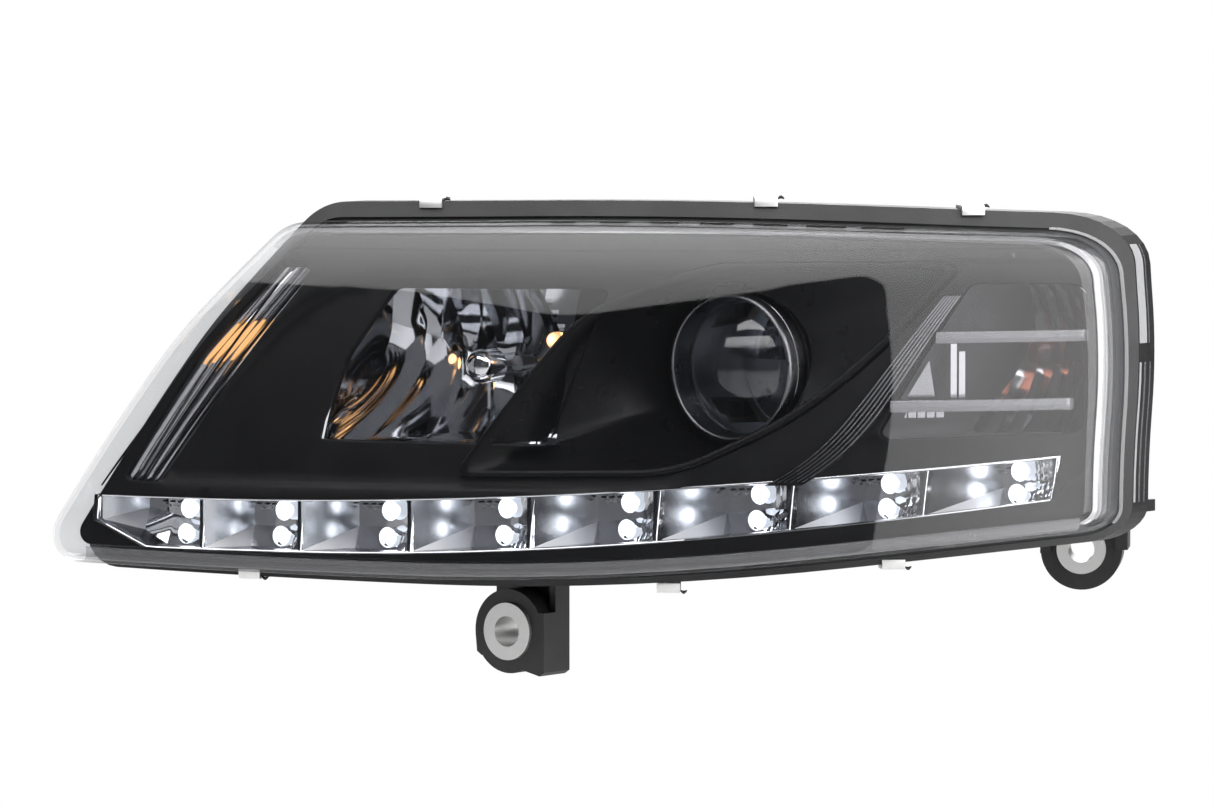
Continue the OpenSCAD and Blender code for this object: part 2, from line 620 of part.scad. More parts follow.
// Boss with a sloping foot, hung from the housing by a rear web and one side wall
lower_shape = [[-83, -130], [-82, -140], [-79, -142], [-41, -151], [-38, -149], [-38, -120], [-42, -118]];
module lower_bracket() color(black) difference() {
    union() {
        along_y([bush_at[0], 2, bush_at[2]]) cylinder(r = 22, h = 22);
        prism(lower_shape, 2, 24);
        block([-83, 20, -140], [-38, 24, foot_z - 3]);
        block([-42, 2, -148], [-38, 24, -118]);
        block([-42, 12, -130], [-38, 24, foot_z - 3]);
        block([-64, 14, -120], [-61, 24, foot_z - 3]);
        block([-90, 15, foot_z - 4], [-36, 41, foot_z - gap]);
    }
    along_y([bush_at[0], -5, bush_at[2]]) cylinder(r = lower_bore + 3.1, h = 60);
    for (x = bracket_screw_x) translate([x, 33, foot_z - 20]) cylinder(r = 2.3, h = 40);
}
module outer_bracket() color(black) difference() {
    outer_place() translate([0, 2, 0]) {
        rotate([-90, 0, 0]) cylinder(r = 21.5, h = 22);
        block([-21.5, 0, 0], [21.5, 22, outer_top - outer_at[2] - gap]);
        block([-21.5, -4, -2], [-16, 8, outer_top - outer_at[2] - gap]);
        block([18, -3, 0], [24.5, 22, outer_top - outer_at[2] - gap]);
    }
    outer_place() rotate([-90, 0, 0]) cylinder(r = outer_bore + 3.1, h = 80, center = true);
    block([100, 190, outer_top - gap], [200, 280, outer_top + 10]);
}
module bracket_screws() color(steel) for (x = bracket_screw_x) translate([x, 33, foot_z]) {
    translate([0, 0, -7]) cylinder(r = 4, h = 2.9);
    translate([0, 0, -5]) cylinder(r = 2, h = 10);
}

// Lead from the connector to the levelling motor, held in the housing all the way
lead_z = -44;
module internal_lead() color(black) {
    along_y([66, 207, lead_z]) cylinder(r = 1.8, h = 4.9);
    translate([57.1, 207, lead_z]) rotate([0, 90, 0]) cylinder(r = 1.8, h = 8.9);
    translate([66, 207, lead_z]) sphere(r = 1.8);
}

seat() housing();
seat() cover_lens();
seat() lens_seal();
seat() lens_clips();
seat() main_bezel();
seat() projector_pod();
seat() louvre_strip();
seat() turn_bars();
seat() high_beam_reflector();
seat() high_beam_bulb();
seat() high_beam_bulb_base();
seat() high_bulb_shield();
seat() high_bulb_clip();
seat() side_reflector();
seat() position_bulb();
seat() turn_reflector();
seat() turn_bulb();
seat() turn_bulb_holder();
seat() drl_reflector();
seat() drl_trim();
seat() drl_leds();
seat() drl_boards();
seat() drl_driver();
seat() projector_lens();
seat() lens_ring();
seat() lens_carrier();
seat() cutoff_shade();
seat() bowl_reflector();
seat() low_beam_bulb();
seat() low_beam_bulb_base();
seat() low_bulb_clip();
seat() aiming_frame();
seat() pivot_studs();
seat() aim_nut();
seat() yaw_screw();
seat() pitch_screw();
seat() level_motor();
seat() level_rod();
seat() low_beam_cap();
seat() low_cap_seal();
seat() high_beam_cap();
seat() high_cap_seal();
seat() main_connector();
seat() connector_pins();
seat() vent_caps();
seat() lower_bracket();
seat() outer_bracket();
seat() lower_bush();
seat() outer_bush();
seat() bracket_screws();
seat() bezel_screws();
seat() internal_lead();
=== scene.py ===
import math
from math import cos, pi, radians, sin, sqrt

import bmesh
import bpy
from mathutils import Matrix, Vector
from mathutils.geometry import delaunay_2d_cdt

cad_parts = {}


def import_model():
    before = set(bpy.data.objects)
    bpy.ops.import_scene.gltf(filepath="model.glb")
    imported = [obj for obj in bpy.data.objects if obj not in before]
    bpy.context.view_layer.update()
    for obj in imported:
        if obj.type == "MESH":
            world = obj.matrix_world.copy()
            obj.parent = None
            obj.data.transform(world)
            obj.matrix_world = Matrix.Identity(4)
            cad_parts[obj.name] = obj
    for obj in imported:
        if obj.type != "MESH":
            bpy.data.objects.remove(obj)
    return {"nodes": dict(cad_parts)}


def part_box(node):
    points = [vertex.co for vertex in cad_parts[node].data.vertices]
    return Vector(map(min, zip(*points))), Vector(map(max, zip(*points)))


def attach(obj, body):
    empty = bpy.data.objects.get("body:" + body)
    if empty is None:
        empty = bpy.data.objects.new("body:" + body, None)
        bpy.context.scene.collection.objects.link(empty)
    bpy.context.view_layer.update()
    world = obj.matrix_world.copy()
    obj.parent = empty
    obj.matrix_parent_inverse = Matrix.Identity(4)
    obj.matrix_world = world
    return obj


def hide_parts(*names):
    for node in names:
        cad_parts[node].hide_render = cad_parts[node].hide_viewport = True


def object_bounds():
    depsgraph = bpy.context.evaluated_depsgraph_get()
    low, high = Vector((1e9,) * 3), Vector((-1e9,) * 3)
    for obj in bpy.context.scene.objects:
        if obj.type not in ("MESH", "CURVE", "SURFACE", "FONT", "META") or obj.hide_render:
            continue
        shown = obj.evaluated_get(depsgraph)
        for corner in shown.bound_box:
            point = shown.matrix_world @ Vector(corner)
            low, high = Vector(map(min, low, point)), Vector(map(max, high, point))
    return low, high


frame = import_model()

CAD_BOX = [list(corner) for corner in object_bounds()]
MM = 0.001

# ---- the lamp's own coordinates: millimetres from the middle of the cover lens ------------------
# The projector lens fixes where they lie in the frame: its axis is at x 31, z 9, its nose at y 62.
low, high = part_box("projector_lens")
PROJ = Vector((31, 62, 9))
SEAT = Vector(((low.x + high.x) / 2, low.y, (low.z + high.z) / 2)) - PROJ * MM


def place(p):
    return Vector(p) * MM + SEAT


# ---- the front sphere and everything laid out behind it ------------------------------------------
LENS_R = 700
LENS_WALL = 3
SWEEP = radians(37)
RAKE = radians(12)
NOSE = 30
RUN = sqrt((LENS_R * cos(RAKE)) ** 2 - NOSE**2)
BALL = Vector((
    NOSE * cos(SWEEP) - RUN * sin(SWEEP),
    NOSE * sin(SWEEP) + RUN * cos(SWEEP),
    -LENS_R * sin(RAKE),
))


def front_y(x, z, behind=0.0, aside=0.0, r=LENS_R):
    """Depth of the front sphere at x, z, moved back and outboard."""
    across = x - BALL.x - aside
    up = z - BALL.z
    return BALL.y + behind - sqrt(max(r * r - across * across - up * up, 1.0))


CORNERS = [
    (-279, -93.5, 15), (10, -99.5, 1200), (193, -75, 12), (187, 15, 400),
    (172.5, 77.5, 30), (20, 87, 2000), (-162, 84, 20), (-208, 27, 300),
]
# The bezel reaches closer to the lens along its inboard end
TRIM = [(x - 3.5 if x < -150 else x, z, r) for x, z, r in CORNERS]
LENS_MIDDLE = Vector((-18, -4))
BEZEL_DEPTH = 18
SKIRT_END = 46
RIM_ASIDE = 20


# ---- mesh tools ----------------------------------------------------------------------------------
def ring(corners, d=0.0, arc=7, step=7.0):
    """Rounded polygon moved outwards by d, as (x, z) points; the count doesn't depend on d."""
    n = len(corners)
    sides = []
    for i, (x, z, r) in enumerate(corners):
        px, pz, _ = corners[i - 1]
        nx, nz, _ = corners[(i + 1) % n]
        a = Vector((x - px, z - pz)).normalized()
        b = Vector((nx - x, nz - z)).normalized()
        n1 = Vector((a.y, -a.x))
        n2 = Vector((b.y, -b.x))
        m = (n1 + n2) / (1 + n1.dot(n2))
        turn = math.atan2(n1.x * n2.y - n1.y * n2.x, n1.dot(n2))
        start = math.atan2(n1.y, n1.x)
        radius = max(r + d, 0.25) if turn > 0 else max(r - d, 0.25)
        sign = 1 if turn > 0 else -1
        centre = Vector((x, z)) + m * d - m * radius * sign
        base = Vector((x, z)) - m * r * sign
        bend, plain = [], []
        for k in range(arc + 1):
            angle = start + turn * k / arc
            way = Vector((cos(angle), sin(angle)))
            bend.append(centre + way * radius * sign)
            plain.append(base + way * r * sign)
        sides.append((bend, plain))
    points = []
    for i in range(n):
        bend, plain = sides[i]
        after, plain_after = sides[(i + 1) % n]
        points += bend
        gap = (plain_after[0] - plain[-1]).length
        cuts = int(gap / step)
        points += [bend[-1].lerp(after[0], k / (cuts + 1)) for k in range(1, cuts + 1)]
    return points


def inside(p, loop):
    hit = False
    x, z = p
    for a, b in zip(loop, loop[1:] + loop[:1]):
        if (a[1] > z) != (b[1] > z) and x < (b[0] - a[0]) * (z - a[1]) / (b[1] - a[1]) + a[0]:
            hit = not hit
    return hit


def near(p, loops, reach):
    return any((Vector(p) - Vector(q)).length < reach for loop in loops for q in loop)


def depth_inside(p, loop):
    """Distance of p from the loop, positive inside it."""
    p = Vector(p)
    best = 1e9
    for a, b in zip(loop, loop[1:] + loop[:1]):
        a, b = Vector(a), Vector(b)
        along = b - a
        t = min(max((p - a).dot(along) / max(along.length_squared, 1e-9), 0.0), 1.0)
        best = min(best, (p - a - along * t).length)
    return best if inside(p, loop) else -best


def smooth(t):
    t = min(max(t, 0.0), 1.0)
    return t * t * (3 - 2 * t)


def put(name, data):
    """New object in the scene."""
    made = bpy.data.objects.new(name, data)
    bpy.context.scene.collection.objects.link(made)
    return made


def put_mesh(name, mesh):
    data = bpy.data.meshes.new(name)
    mesh.to_mesh(data)
    mesh.free()
    return put(name, data)


class Piece:
    """One visible piece under construction: points in lamp millimetres, faces with a material number."""

    def __init__(self, name):
        self.name = name
        self.mesh = bmesh.new()

    def point(self, p):
        return self.mesh.verts.new(place(p))

    def face(self, points, slot=0):
        try:
            made = self.mesh.faces.new(points)
        except ValueError:  # the points already carry a face
            return
        made.material_index = slot
        made.smooth = True

    def loft(self, rings, slot=0, closed=True, cap=None):
        """Skin through rings of points; cap closes the first or last ring with a fan."""
        rows = [[self.point(p) for p in r] for r in rings]
        count = len(rows[0])
        for a, b in zip(rows, rows[1:]):
            for k in range(count if closed else count - 1):
                j = (k + 1) % count
                self.face((a[k], a[j], b[j], b[k]), slot)
        if cap:
            for row in [rows[0]] * ("start" in cap) + [rows[-1]] * ("end" in cap):
                middle = sum((v.co for v in row), Vector()) / count
                hub = self.mesh.verts.new(middle)
                for k in range(count):
                    self.face((row[k], row[(k + 1) % count], hub), slot)

    def drape(self, rows, slot=0):
        """Open skin through rows of points."""
        self.loft(rows, slot, closed=False)

    def sheet(self, outer, holes, depth, spacing=6.0, creases=()):
        """Flat-in-plan sheet with holes, laid on the surface y = depth(x, z)."""
        points, edges = [], []
        for loop in [outer] + list(holes):
            first = len(points)
            points += [Vector(p) for p in loop]
            edges += [(first + k, first + (k + 1) % len(loop)) for k in range(len(loop))]
        for line in creases:
            first = len(points)
            points += [Vector(p) for p in line]
            edges += [(first + k, first + k + 1) for k in range(len(line) - 1)]
        loops = [outer] + list(holes) + list(creases)
        xs = [p[0] for p in outer]
        zs = [p[1] for p in outer]
        row = 0
        z = min(zs) + spacing / 2
        while z < max(zs):
            x = min(xs) + spacing * (0.5 + 0.5 * (row % 2))
            while x < max(xs):
                p = (x, z)
                if inside(p, outer) and not any(inside(p, h) for h in holes):
                    if not near(p, loops, spacing * 0.55):
                        points.append(Vector(p))
                x += spacing
            z += spacing * 0.87
            row += 1
        verts, _, faces, _, _, _ = delaunay_2d_cdt(points, edges, [], 0, 1e-5)
        made = [self.point((v.x, depth(v.x, v.y), v.y)) for v in verts]
        for f in faces:
            middle = sum((verts[k] for k in f), Vector((0, 0))) / len(f)
            if inside(middle, outer) and not any(inside(middle, h) for h in holes):
                self.face([made[k] for k in f])
        for v in made:
            if not v.link_faces:
                self.mesh.verts.remove(v)

    def block(self, lo, hi, slot=0):
        """Box with corners lo and hi."""
        v = [
            self.point((x, y, z)) for x in (lo[0], hi[0]) for y in (lo[1], hi[1]) for z in (lo[2], hi[2])
        ]
        for f in ((0, 1, 3, 2), (4, 6, 7, 5), (0, 4, 5, 1), (2, 3, 7, 6), (0, 2, 6, 4), (1, 5, 7, 3)):
            self.face([v[k] for k in f], slot)

    def turned(self, centre, profile, slot=0, steps=64, cap=None):
        """Turned shape about an axis along Y: profile of (radius, y offset)."""
        rings = []
        for r, dy in profile:
            rings.append([
                (centre[0] + r * cos(a), centre[1] + dy, centre[2] + r * sin(a))
                for a in (2 * pi * k / steps for k in range(steps))
            ])
        self.loft(rings, slot, cap=cap)

    def finish(self, replaces, slot, materials, sharp=32.0, body="lamp"):
        bmesh.ops.remove_doubles(self.mesh, verts=self.mesh.verts, dist=1e-6)
        bmesh.ops.dissolve_degenerate(self.mesh, edges=self.mesh.edges, dist=1e-7)
        bmesh.ops.recalc_face_normals(self.mesh, faces=self.mesh.faces)
        for e in self.mesh.edges:
            if len(e.link_faces) != 2 or e.calc_face_angle(0) > radians(sharp):
                e.smooth = False
        made = put_mesh(self.name, self.mesh)
        for m in materials:
            made.data.materials.append(m)
        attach(made, body)
        if replaces:
            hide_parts(*replaces)


def lift(points, depth):
    return [(p[0], depth(p[0], p[1]), p[1]) for p in points]


# ---- materials -----------------------------------------------------------------------------------
def material(name):
    made = bpy.data.materials.new(name)
    made.use_nodes = True
    tree = made.node_tree
    return made, tree, tree.nodes["Principled BSDF"]


def fill(target, **values):
    """Set inputs by name, written with _ for a space."""
    for socket, value in values.items():
        target.inputs[socket.replace("_", " ")].default_value = value
    return target


def node(tree, kind, **values):
    return fill(tree.nodes.new("ShaderNode" + kind), **values)


def join(tree, *pairs):
    for start, end in pairs:
        tree.links.new(start, end)


def noise_on(tree, scale, detail):
    noise = node(tree, "TexNoise", Scale=scale, Detail=detail)
    join(tree, (node(tree, "TexCoord").outputs["Object"], noise.inputs["Vector"]))
    return noise.outputs["Fac"]


def bumped(tree, shader, scale, strength, distance):
    """Fine relief on a Principled shader."""
    bump = node(tree, "Bump", Strength=strength, Distance=distance)
    level = noise_on(tree, scale, 2)
    join(tree, (level, bump.inputs["Height"]), (bump.outputs["Normal"], shader.inputs["Normal"]))


def varied(tree, shader, socket, scale, dark, light):
    """Noise between two values or colours into one socket."""
    level = noise_on(tree, scale, 4)
    if isinstance(dark, tuple):
        ramp = node(tree, "ValToRGB")
        for end, position, colour in zip(ramp.color_ramp.elements, (0.35, 0.65), (dark, light)):
            end.position = position
            end.color = (*colour, 1)
        join(tree, (level, ramp.inputs["Fac"]), (ramp.outputs["Color"], shader.inputs[socket]))
    else:
        span = node(tree, "MapRange", From_Min=0.3, From_Max=0.7, To_Min=dark, To_Max=light)
        join(tree, (level, span.inputs["Value"]), (span.outputs["Result"], shader.inputs[socket]))


def plastic(name, colour, lighter, rough, grain, depth, strength, shine=0.5):
    made, tree, shader = material(name)
    varied(tree, shader, "Base Color", 24.0, colour, lighter)
    varied(tree, shader, "Roughness", 60.0, rough - 0.05, rough + 0.06)
    fill(shader, Specular_IOR_Level=shine)
    bumped(tree, shader, grain, strength, depth)
    return made


def metal(name, colour, rough, grain=300.0, strength=0.15, depth=0.0001, spread=0.04):
    made, tree, shader = material(name)
    fill(shader, Metallic=1.0, Base_Color=(*colour, 1))
    varied(tree, shader, "Roughness", 90.0, max(rough - spread, 0.0), rough + spread)
    bumped(tree, shader, grain, strength, depth)
    return made


def see_through(name, tint, gloss_rough, head_on, grazing, haze=0.0, haze_colour=(0.8, 0.8, 0.82)):
    """Clear plastic or glass wall: a little mirror over what is behind it, with an optional milky part."""
    made, tree, shader = material(name)
    tree.nodes.remove(shader)
    body = node(tree, "BsdfTransparent", Color=(*tint, 1)).outputs[0]
    if haze > 0:
        milk = node(tree, "BsdfDiffuse", Color=(*haze_colour, 1))
        blend = node(tree, "MixShader")
        blend.inputs[0].default_value = haze
        join(tree, (body, blend.inputs[1]), (milk.outputs[0], blend.inputs[2]))
        body = blend.outputs[0]
    gloss = node(tree, "BsdfGlossy", Roughness=gloss_rough)
    facing = node(tree, "LayerWeight", Blend=0.5)
    curve = node(tree, "Math")
    curve.operation = "POWER"
    curve.inputs[1].default_value = 4.0
    span = node(tree, "MapRange", To_Min=head_on, To_Max=grazing)
    mix = node(tree, "MixShader")
    join(
        tree, (facing.outputs["Facing"], curve.inputs[0]), (curve.outputs[0], span.inputs["Value"]),
        (span.outputs["Result"], mix.inputs[0]), (body, mix.inputs[1]), (gloss.outputs[0], mix.inputs[2]),
        (mix.outputs[0], tree.nodes["Material Output"].inputs["Surface"]),
    )
    return made


def glowing(name, colour, strength, base=(1, 1, 1)):
    made, _, shader = material(name)
    fill(shader, Base_Color=(*base, 1), Roughness=0.2)
    fill(shader, Emission_Color=(*colour, 1), Emission_Strength=strength)
    return made


COVER = see_through("cover_polycarbonate", (0.985, 0.985, 0.99), 0.015, 0.045, 0.75)
SKIRT = see_through("cover_skirt", (0.965, 0.97, 0.975), 0.06, 0.06, 0.7, haze=0.08)
HOUSING = plastic("housing_plastic", (0.012, 0.012, 0.013), (0.02, 0.02, 0.021), 0.42, 700, 0.0002, 0.5)
BEZEL = plastic("bezel_grain", (0.003, 0.003, 0.0035), (0.0045, 0.0045, 0.005), 0.4, 1500, 0.00003, 0.3, 0.16)
PIANO = plastic("pod_gloss", (0.0025, 0.0025, 0.003), (0.0035, 0.0035, 0.004), 0.3, 30, 0.00001, 0.05, 0.12)
RIB_LINES = metal("louvre_lines", (0.17, 0.17, 0.18), 0.28, 500)
SATIN = metal("satin_ring", (0.17, 0.17, 0.18), 0.3, 500)
RIBS = plastic("louvre_black", (0.006, 0.006, 0.006), (0.01, 0.01, 0.01), 0.24, 500, 0.00003, 0.2, 0.12)
CHROME = metal("vacuum_chrome", (0.86, 0.87, 0.89), 0.07, 60, 0.05, 0.00004, 0.02)
MIRROR = metal("bright_chrome", (0.62, 0.63, 0.65), 0.05, 80, 0.04, 0.00003, 0.02)
GREYED = metal("smoked_chrome", (0.42, 0.42, 0.44), 0.14, 80, 0.08, 0.00005, 0.03)
SEAL = plastic("seal_bead", (0.012, 0.012, 0.013), (0.022, 0.022, 0.023), 0.55, 120, 0.0003, 0.6)
CLIP = metal("clip_steel", (0.82, 0.82, 0.81), 0.42, 400)
STEEL = metal("plain_steel", (0.58, 0.58, 0.60), 0.3, 400)
ALLOY = metal("bush_aluminium", (0.74, 0.74, 0.73), 0.38, 900, 0.35, 0.0001)
GREY = plastic("moulded_grey", (0.055, 0.055, 0.06), (0.075, 0.075, 0.08), 0.48, 500, 0.0002, 0.4)
NYLON = plastic("natural_nylon", (0.62, 0.60, 0.53), (0.72, 0.70, 0.63), 0.42, 300, 0.0001, 0.3)
CAPS = plastic("cap_plastic", (0.014, 0.014, 0.015), (0.024, 0.024, 0.025), 0.4, 800, 0.0002, 0.5)
RED = plastic("seal_silicone", (0.20, 0.035, 0.03), (0.26, 0.05, 0.04), 0.5, 300, 0.0001, 0.3)
BOARD = plastic("solder_resist", (0.01, 0.07, 0.035), (0.016, 0.10, 0.05), 0.35, 300, 0.0001, 0.3)
GOLD = metal("gold_plate", (0.83, 0.62, 0.25), 0.2, 300)
GLASS = see_through("bulb_glass", (0.96, 0.97, 0.98), 0.02, 0.06, 0.8)
OPTIC = see_through("projector_glass", (0.72, 0.74, 0.78), 0.02, 0.09, 0.85)
AMBER = see_through("amber_glass", (0.6, 0.36, 0.28), 0.03, 0.05, 0.6)
PRISM = see_through("edge_prisms", (0.85, 0.85, 0.86), 0.15, 0.12, 0.7, 0.25, (0.5, 0.5, 0.52))
# Painted highlight: a lighter, milkier copy of the prism finish, put where the lens's outboard edge shows
# bright reflections.
PAINTED_EDGE_HIGHLIGHT = see_through("edge_painted_highlight", (0.8, 0.8, 0.82), 0.15, 0.2, 0.9, 0.55, (0.85, 0.85, 0.87))
FROST = see_through("frosted_band", (0.8, 0.8, 0.81), 0.3, 0.08, 0.6, 0.3, (0.36, 0.36, 0.37))
BARS = see_through("light_bar", (0.72, 0.72, 0.74), 0.1, 0.10, 0.7, 0.3, (0.33, 0.33, 0.35))
# Painted shade: chrome with a darkened colour, standing in for the dark room the high-beam bowl reflects.
CHROME_PAINTED_DARK = metal("chrome_painted_dark", (0.34, 0.35, 0.37), 0.06, 60, 0.05, 0.00004, 0.02)
SOFT_CHROME = metal("soft_chrome", (0.42, 0.43, 0.45), 0.2, 120, 0.1, 0.00005, 0.05)
PALE = metal("pale_metal", (0.6, 0.6, 0.61), 0.5, 120, 0.1, 0.00005, 0.05)
LED = glowing("led_die", (0.93, 0.96, 1.0), 5.0)
# Painted glow: the cups round the LED domes emit light of their own, standing in for the LEDs' light falling
# on them.
LED_CUP_PAINTED_GLOW = glowing("led_cup_painted_glow", (0.86, 0.92, 1.0), 1.1, (0.6, 0.6, 0.62))
WARM = glowing("warm_bulb", (1.0, 0.45, 0.12), 0.9)
# Painted reflection: chrome that glows warm by itself, standing in for warm light that the side flutes
# reflect; it is no lamp.
PAINTED_WARM_GLINT = glowing("chrome_painted_warm_glint", (1.0, 0.50, 0.18), 0.9, (0.3, 0.2, 0.1))
CUT = plastic("recess_black", (0.003, 0.003, 0.0035), (0.005, 0.005, 0.0055), 0.5, 900, 0.0001, 0.3)


# ---- cover lens ----------------------------------------------------------------------------------
def cover_lens():
    piece = Piece("cover_lens_shell")
    middle = LENS_MIDDLE
    fillet = 3.2

    def dome(corner_offset, r):
        edge = ring(CORNERS, corner_offset)
        rows = 26
        rings = []
        for k in range(rows + 1):
            s = 1 - k / rows
            flat = [middle + (p - middle) * max(s, 0.002) for p in edge]
            rings.append([(p[0], front_y(p[0], p[1], r=r), p[1]) for p in flat])
        return rings

    outer = dome(-fillet, LENS_R)
    edge = []
    for k in range(7):
        t = pi / 2 * (1 - k / 6)
        flat = ring(CORNERS, -fillet * (1 - cos(t)))
        edge.append([(p[0], front_y(p[0], p[1]) + fillet * (1 - sin(t)), p[1]) for p in flat])
    piece.loft(outer[::-1] + edge[1:], 0, cap="start")
    outline = ring(CORNERS, 0)
    inner = ring(CORNERS, -LENS_WALL)

    def rim(points, back):
        return [behind_lens(p[0], p[1], back, RIM_ASIDE) for p in points]

    skirt_top = edge[-1]
    skirt_low = rim(outline, SKIRT_END)
    rows = [skirt_top]
    for k in range(1, 5):
        rows.append([Vector(a).lerp(Vector(b), k / 4) for a, b in zip(skirt_top, skirt_low)])
    inner_low = rim(inner, SKIRT_END)
    inner_top = [(p[0], front_y(p[0], p[1], r=LENS_R - LENS_WALL), p[1]) for p in inner]
    piece.loft(rows, 1)
    piece.loft([skirt_low, inner_low], 1)
    steps = [inner_low] + [
        [Vector(a).lerp(Vector(b), k / 4) for a, b in zip(inner_low, inner_top)] for k in range(1, 5)
    ]
    piece.loft(steps, 1)
    piece.loft(dome(-LENS_WALL, LENS_R - LENS_WALL), 0, cap="end")
    piece.finish(["cover_lens"], "cover_clear", (COVER, SKIRT), sharp=50)


# ---- trim ----------------------------------------------------------------------------------------
HIGH_OPENING = [(-138, -28, 2), (-60, -29, 2), (-30, -29, 3), (-14, 50, 3), (-112, 50, 5), (-130, 14, 40)]
POD = [
    (-70, -46, 3), (28, -45, 60), (72, -18, 120), (100, 16, 160), (124, 64, 6), (28, 64, 60), (-22, 40, 60),
]
TURN = [(103, -27, 4), (174, -25, 4), (165, 51, 8), (126, 52, 4)]
SIDE = [(-240, -52, 3), (-221, -52, 3), (-152, 60, 3), (-169.5, 60, 3), (-206, 12, 30)]
CELLS = [-255, -197, -145, -90.5, -35, 19.5, 73, 122.5, 168]


def strip_top(x):
    return -60.5 + (max(0.0, x + 200) / 366) ** 2 * 22.5


def strip_low(x):
    rise = (-225 - x) * 0.45 if x < -225 else 0
    return -86 + (max(0.0, x + 140) / 306) ** 2 * 26.5 + rise


def strip(d):
    """Outline of the running-light slot, moved out by d."""
    steps = 72
    xs = [CELLS[0] + k * (CELLS[-1] - CELLS[0]) / steps for k in range(steps + 1)]
    stretch = [(-d if k == 0 else d if k == steps else 0) for k in range(steps + 1)]
    low_side = [Vector((x + e, strip_low(x) - d)) for x, e in zip(xs, stretch)]
    top_side = [Vector((x + e, strip_top(x) + d)) for x, e in zip(xs, stretch)]
    return low_side + top_side[::-1]


def at(depth):
    return lambda x, z: front_y(x, z, depth)


def behind_lens(x, z, depth, aside=0.0):
    return x, front_y(x, z, depth, aside), z


# The face is recessed inside this contour: past the high beam, over the shroud and round the turn chamber
RECESS = [
    (-224, -51.5, 3), (178, -51.5, 8), (180, -2, 60), (172, 63, 12), (110, 64.5, 14), (96, 60, 30),
    (14, 59, 60), (-132, 56, 60), (-163, 33, 80),
]
RECESS_DROP = 3.2
STEP_Z = 69.5


def bezel():
    piece = Piece("bezel_face")
    holes = [ring(HIGH_OPENING, 1), ring(POD, 0.6), ring(TURN, 1), ring(SIDE, 1), strip(0.8)]
    outer = ring(TRIM, -8.6)
    contour = ring(RECESS, 0)

    def face(x, z):
        """Recessed field, a step along the top and a ledge above the running light."""
        drop = RECESS_DROP * smooth(0.5 + depth_inside((x, z), contour) / 4.0)
        step = 1.6 * smooth((z - STEP_Z) / 1.2)
        return front_y(x, z, BEZEL_DEPTH - 1.2 + drop - step)

    lines = [ring(RECESS, d) for d in (-2, -1, 0, 1, 2)]
    lines = [line + line[:1] for line in lines]
    clear = [ring(corners, 2.5) for corners in (HIGH_OPENING, POD, TURN, SIDE)] + [strip(2.5)]
    kept = []
    for line in lines:
        run = []
        for p in line:
            if any(inside(p, hole) for hole in clear) or not inside(p, ring(TRIM, -10)):
                kept.append(run)
                run = []
            else:
                run.append(p)
        kept.append(run)
    for z in (STEP_Z, STEP_Z + 0.6, STEP_Z + 1.2):
        kept.append([(x, z) for x in range(-168, 162, 6)])
    piece.sheet(outer, holes, face, 6.0, [run for run in kept if len(run) > 1])
    # perimeter: rounded edge and short skirt
    rings = [lift(outer, face)]
    for d, deeper in ((0.5, 0.5), (0.8, 1.4), (0.9, 4.5)):
        rings.append([(p[0], face(*q) + deeper, p[1]) for p, q in zip(ring(TRIM, -8.6 + d), outer)])
    piece.loft(rings, 0)
    for corners in (HIGH_OPENING, TURN, SIDE):
        rings = [lift(ring(corners, 1), face)]
        for d, deeper in ((0.55, 0.12), (0.2, 0.5), (0, 1.1), (0, 4.0)):
            rings.append([
                (p[0], face(*q) + deeper, p[1]) for p, q in zip(ring(corners, d), ring(corners, 1))
            ])
        piece.loft(rings, 0)
    rings = [lift(ring(POD, 0.6), face), lift(ring(POD, 0.5), at(BEZEL_DEPTH + 8))]
    piece.loft(rings, 0)
    slot_walls = [lift(strip(0.8), face)]
    for d, deeper in ((0.5, 0.6), (0.5, 3.0)):
        slot_walls.append(lift(strip(d), at(BEZEL_DEPTH + deeper)))
    piece.loft(slot_walls, 0)
    piece.finish(["main_bezel"], "bezel_black", (BEZEL,))


def ridge(piece, line, half, height):
    """Rounded ridge along a line of (x, z) points on the bezel."""
    rows = []
    for k, (x, z) in enumerate(line):
        ends = min(1.0, 0.25 + k / 3, 0.25 + (len(line) - 1 - k) / 3)
        before, after = Vector(line[max(k - 1, 0)]), Vector(line[min(k + 1, len(line) - 1)])
        way = (after - before).normalized()
        side = Vector((way.y, -way.x))
        row = []
        for across, up in ((-1, -0.3), (-0.6, 0.75), (0, 1), (0.6, 0.75), (1, -0.3)):
            p = Vector((x, z)) + side * across * half
            row.append(behind_lens(p.x, p.y, BEZEL_DEPTH - up * height * ends))
        rows.append(row)
    piece.drape(rows)


def bezel_fins():
    """Raised fins beside the slanted slot at the inboard end."""
    piece = Piece("bezel_fins")
    fins = (((-224, -50), (-153, 60), 0.8), ((-231, -53), (-168, 55), 0.6), ((-253, -55), (-176, 58), 0.5))
    for a, b, half in fins:
        ridge(piece, [Vector(a).lerp(Vector(b), k / 24) for k in range(25)], half, 0.8)
    piece.finish((), "bezel_black", (BEZEL,))


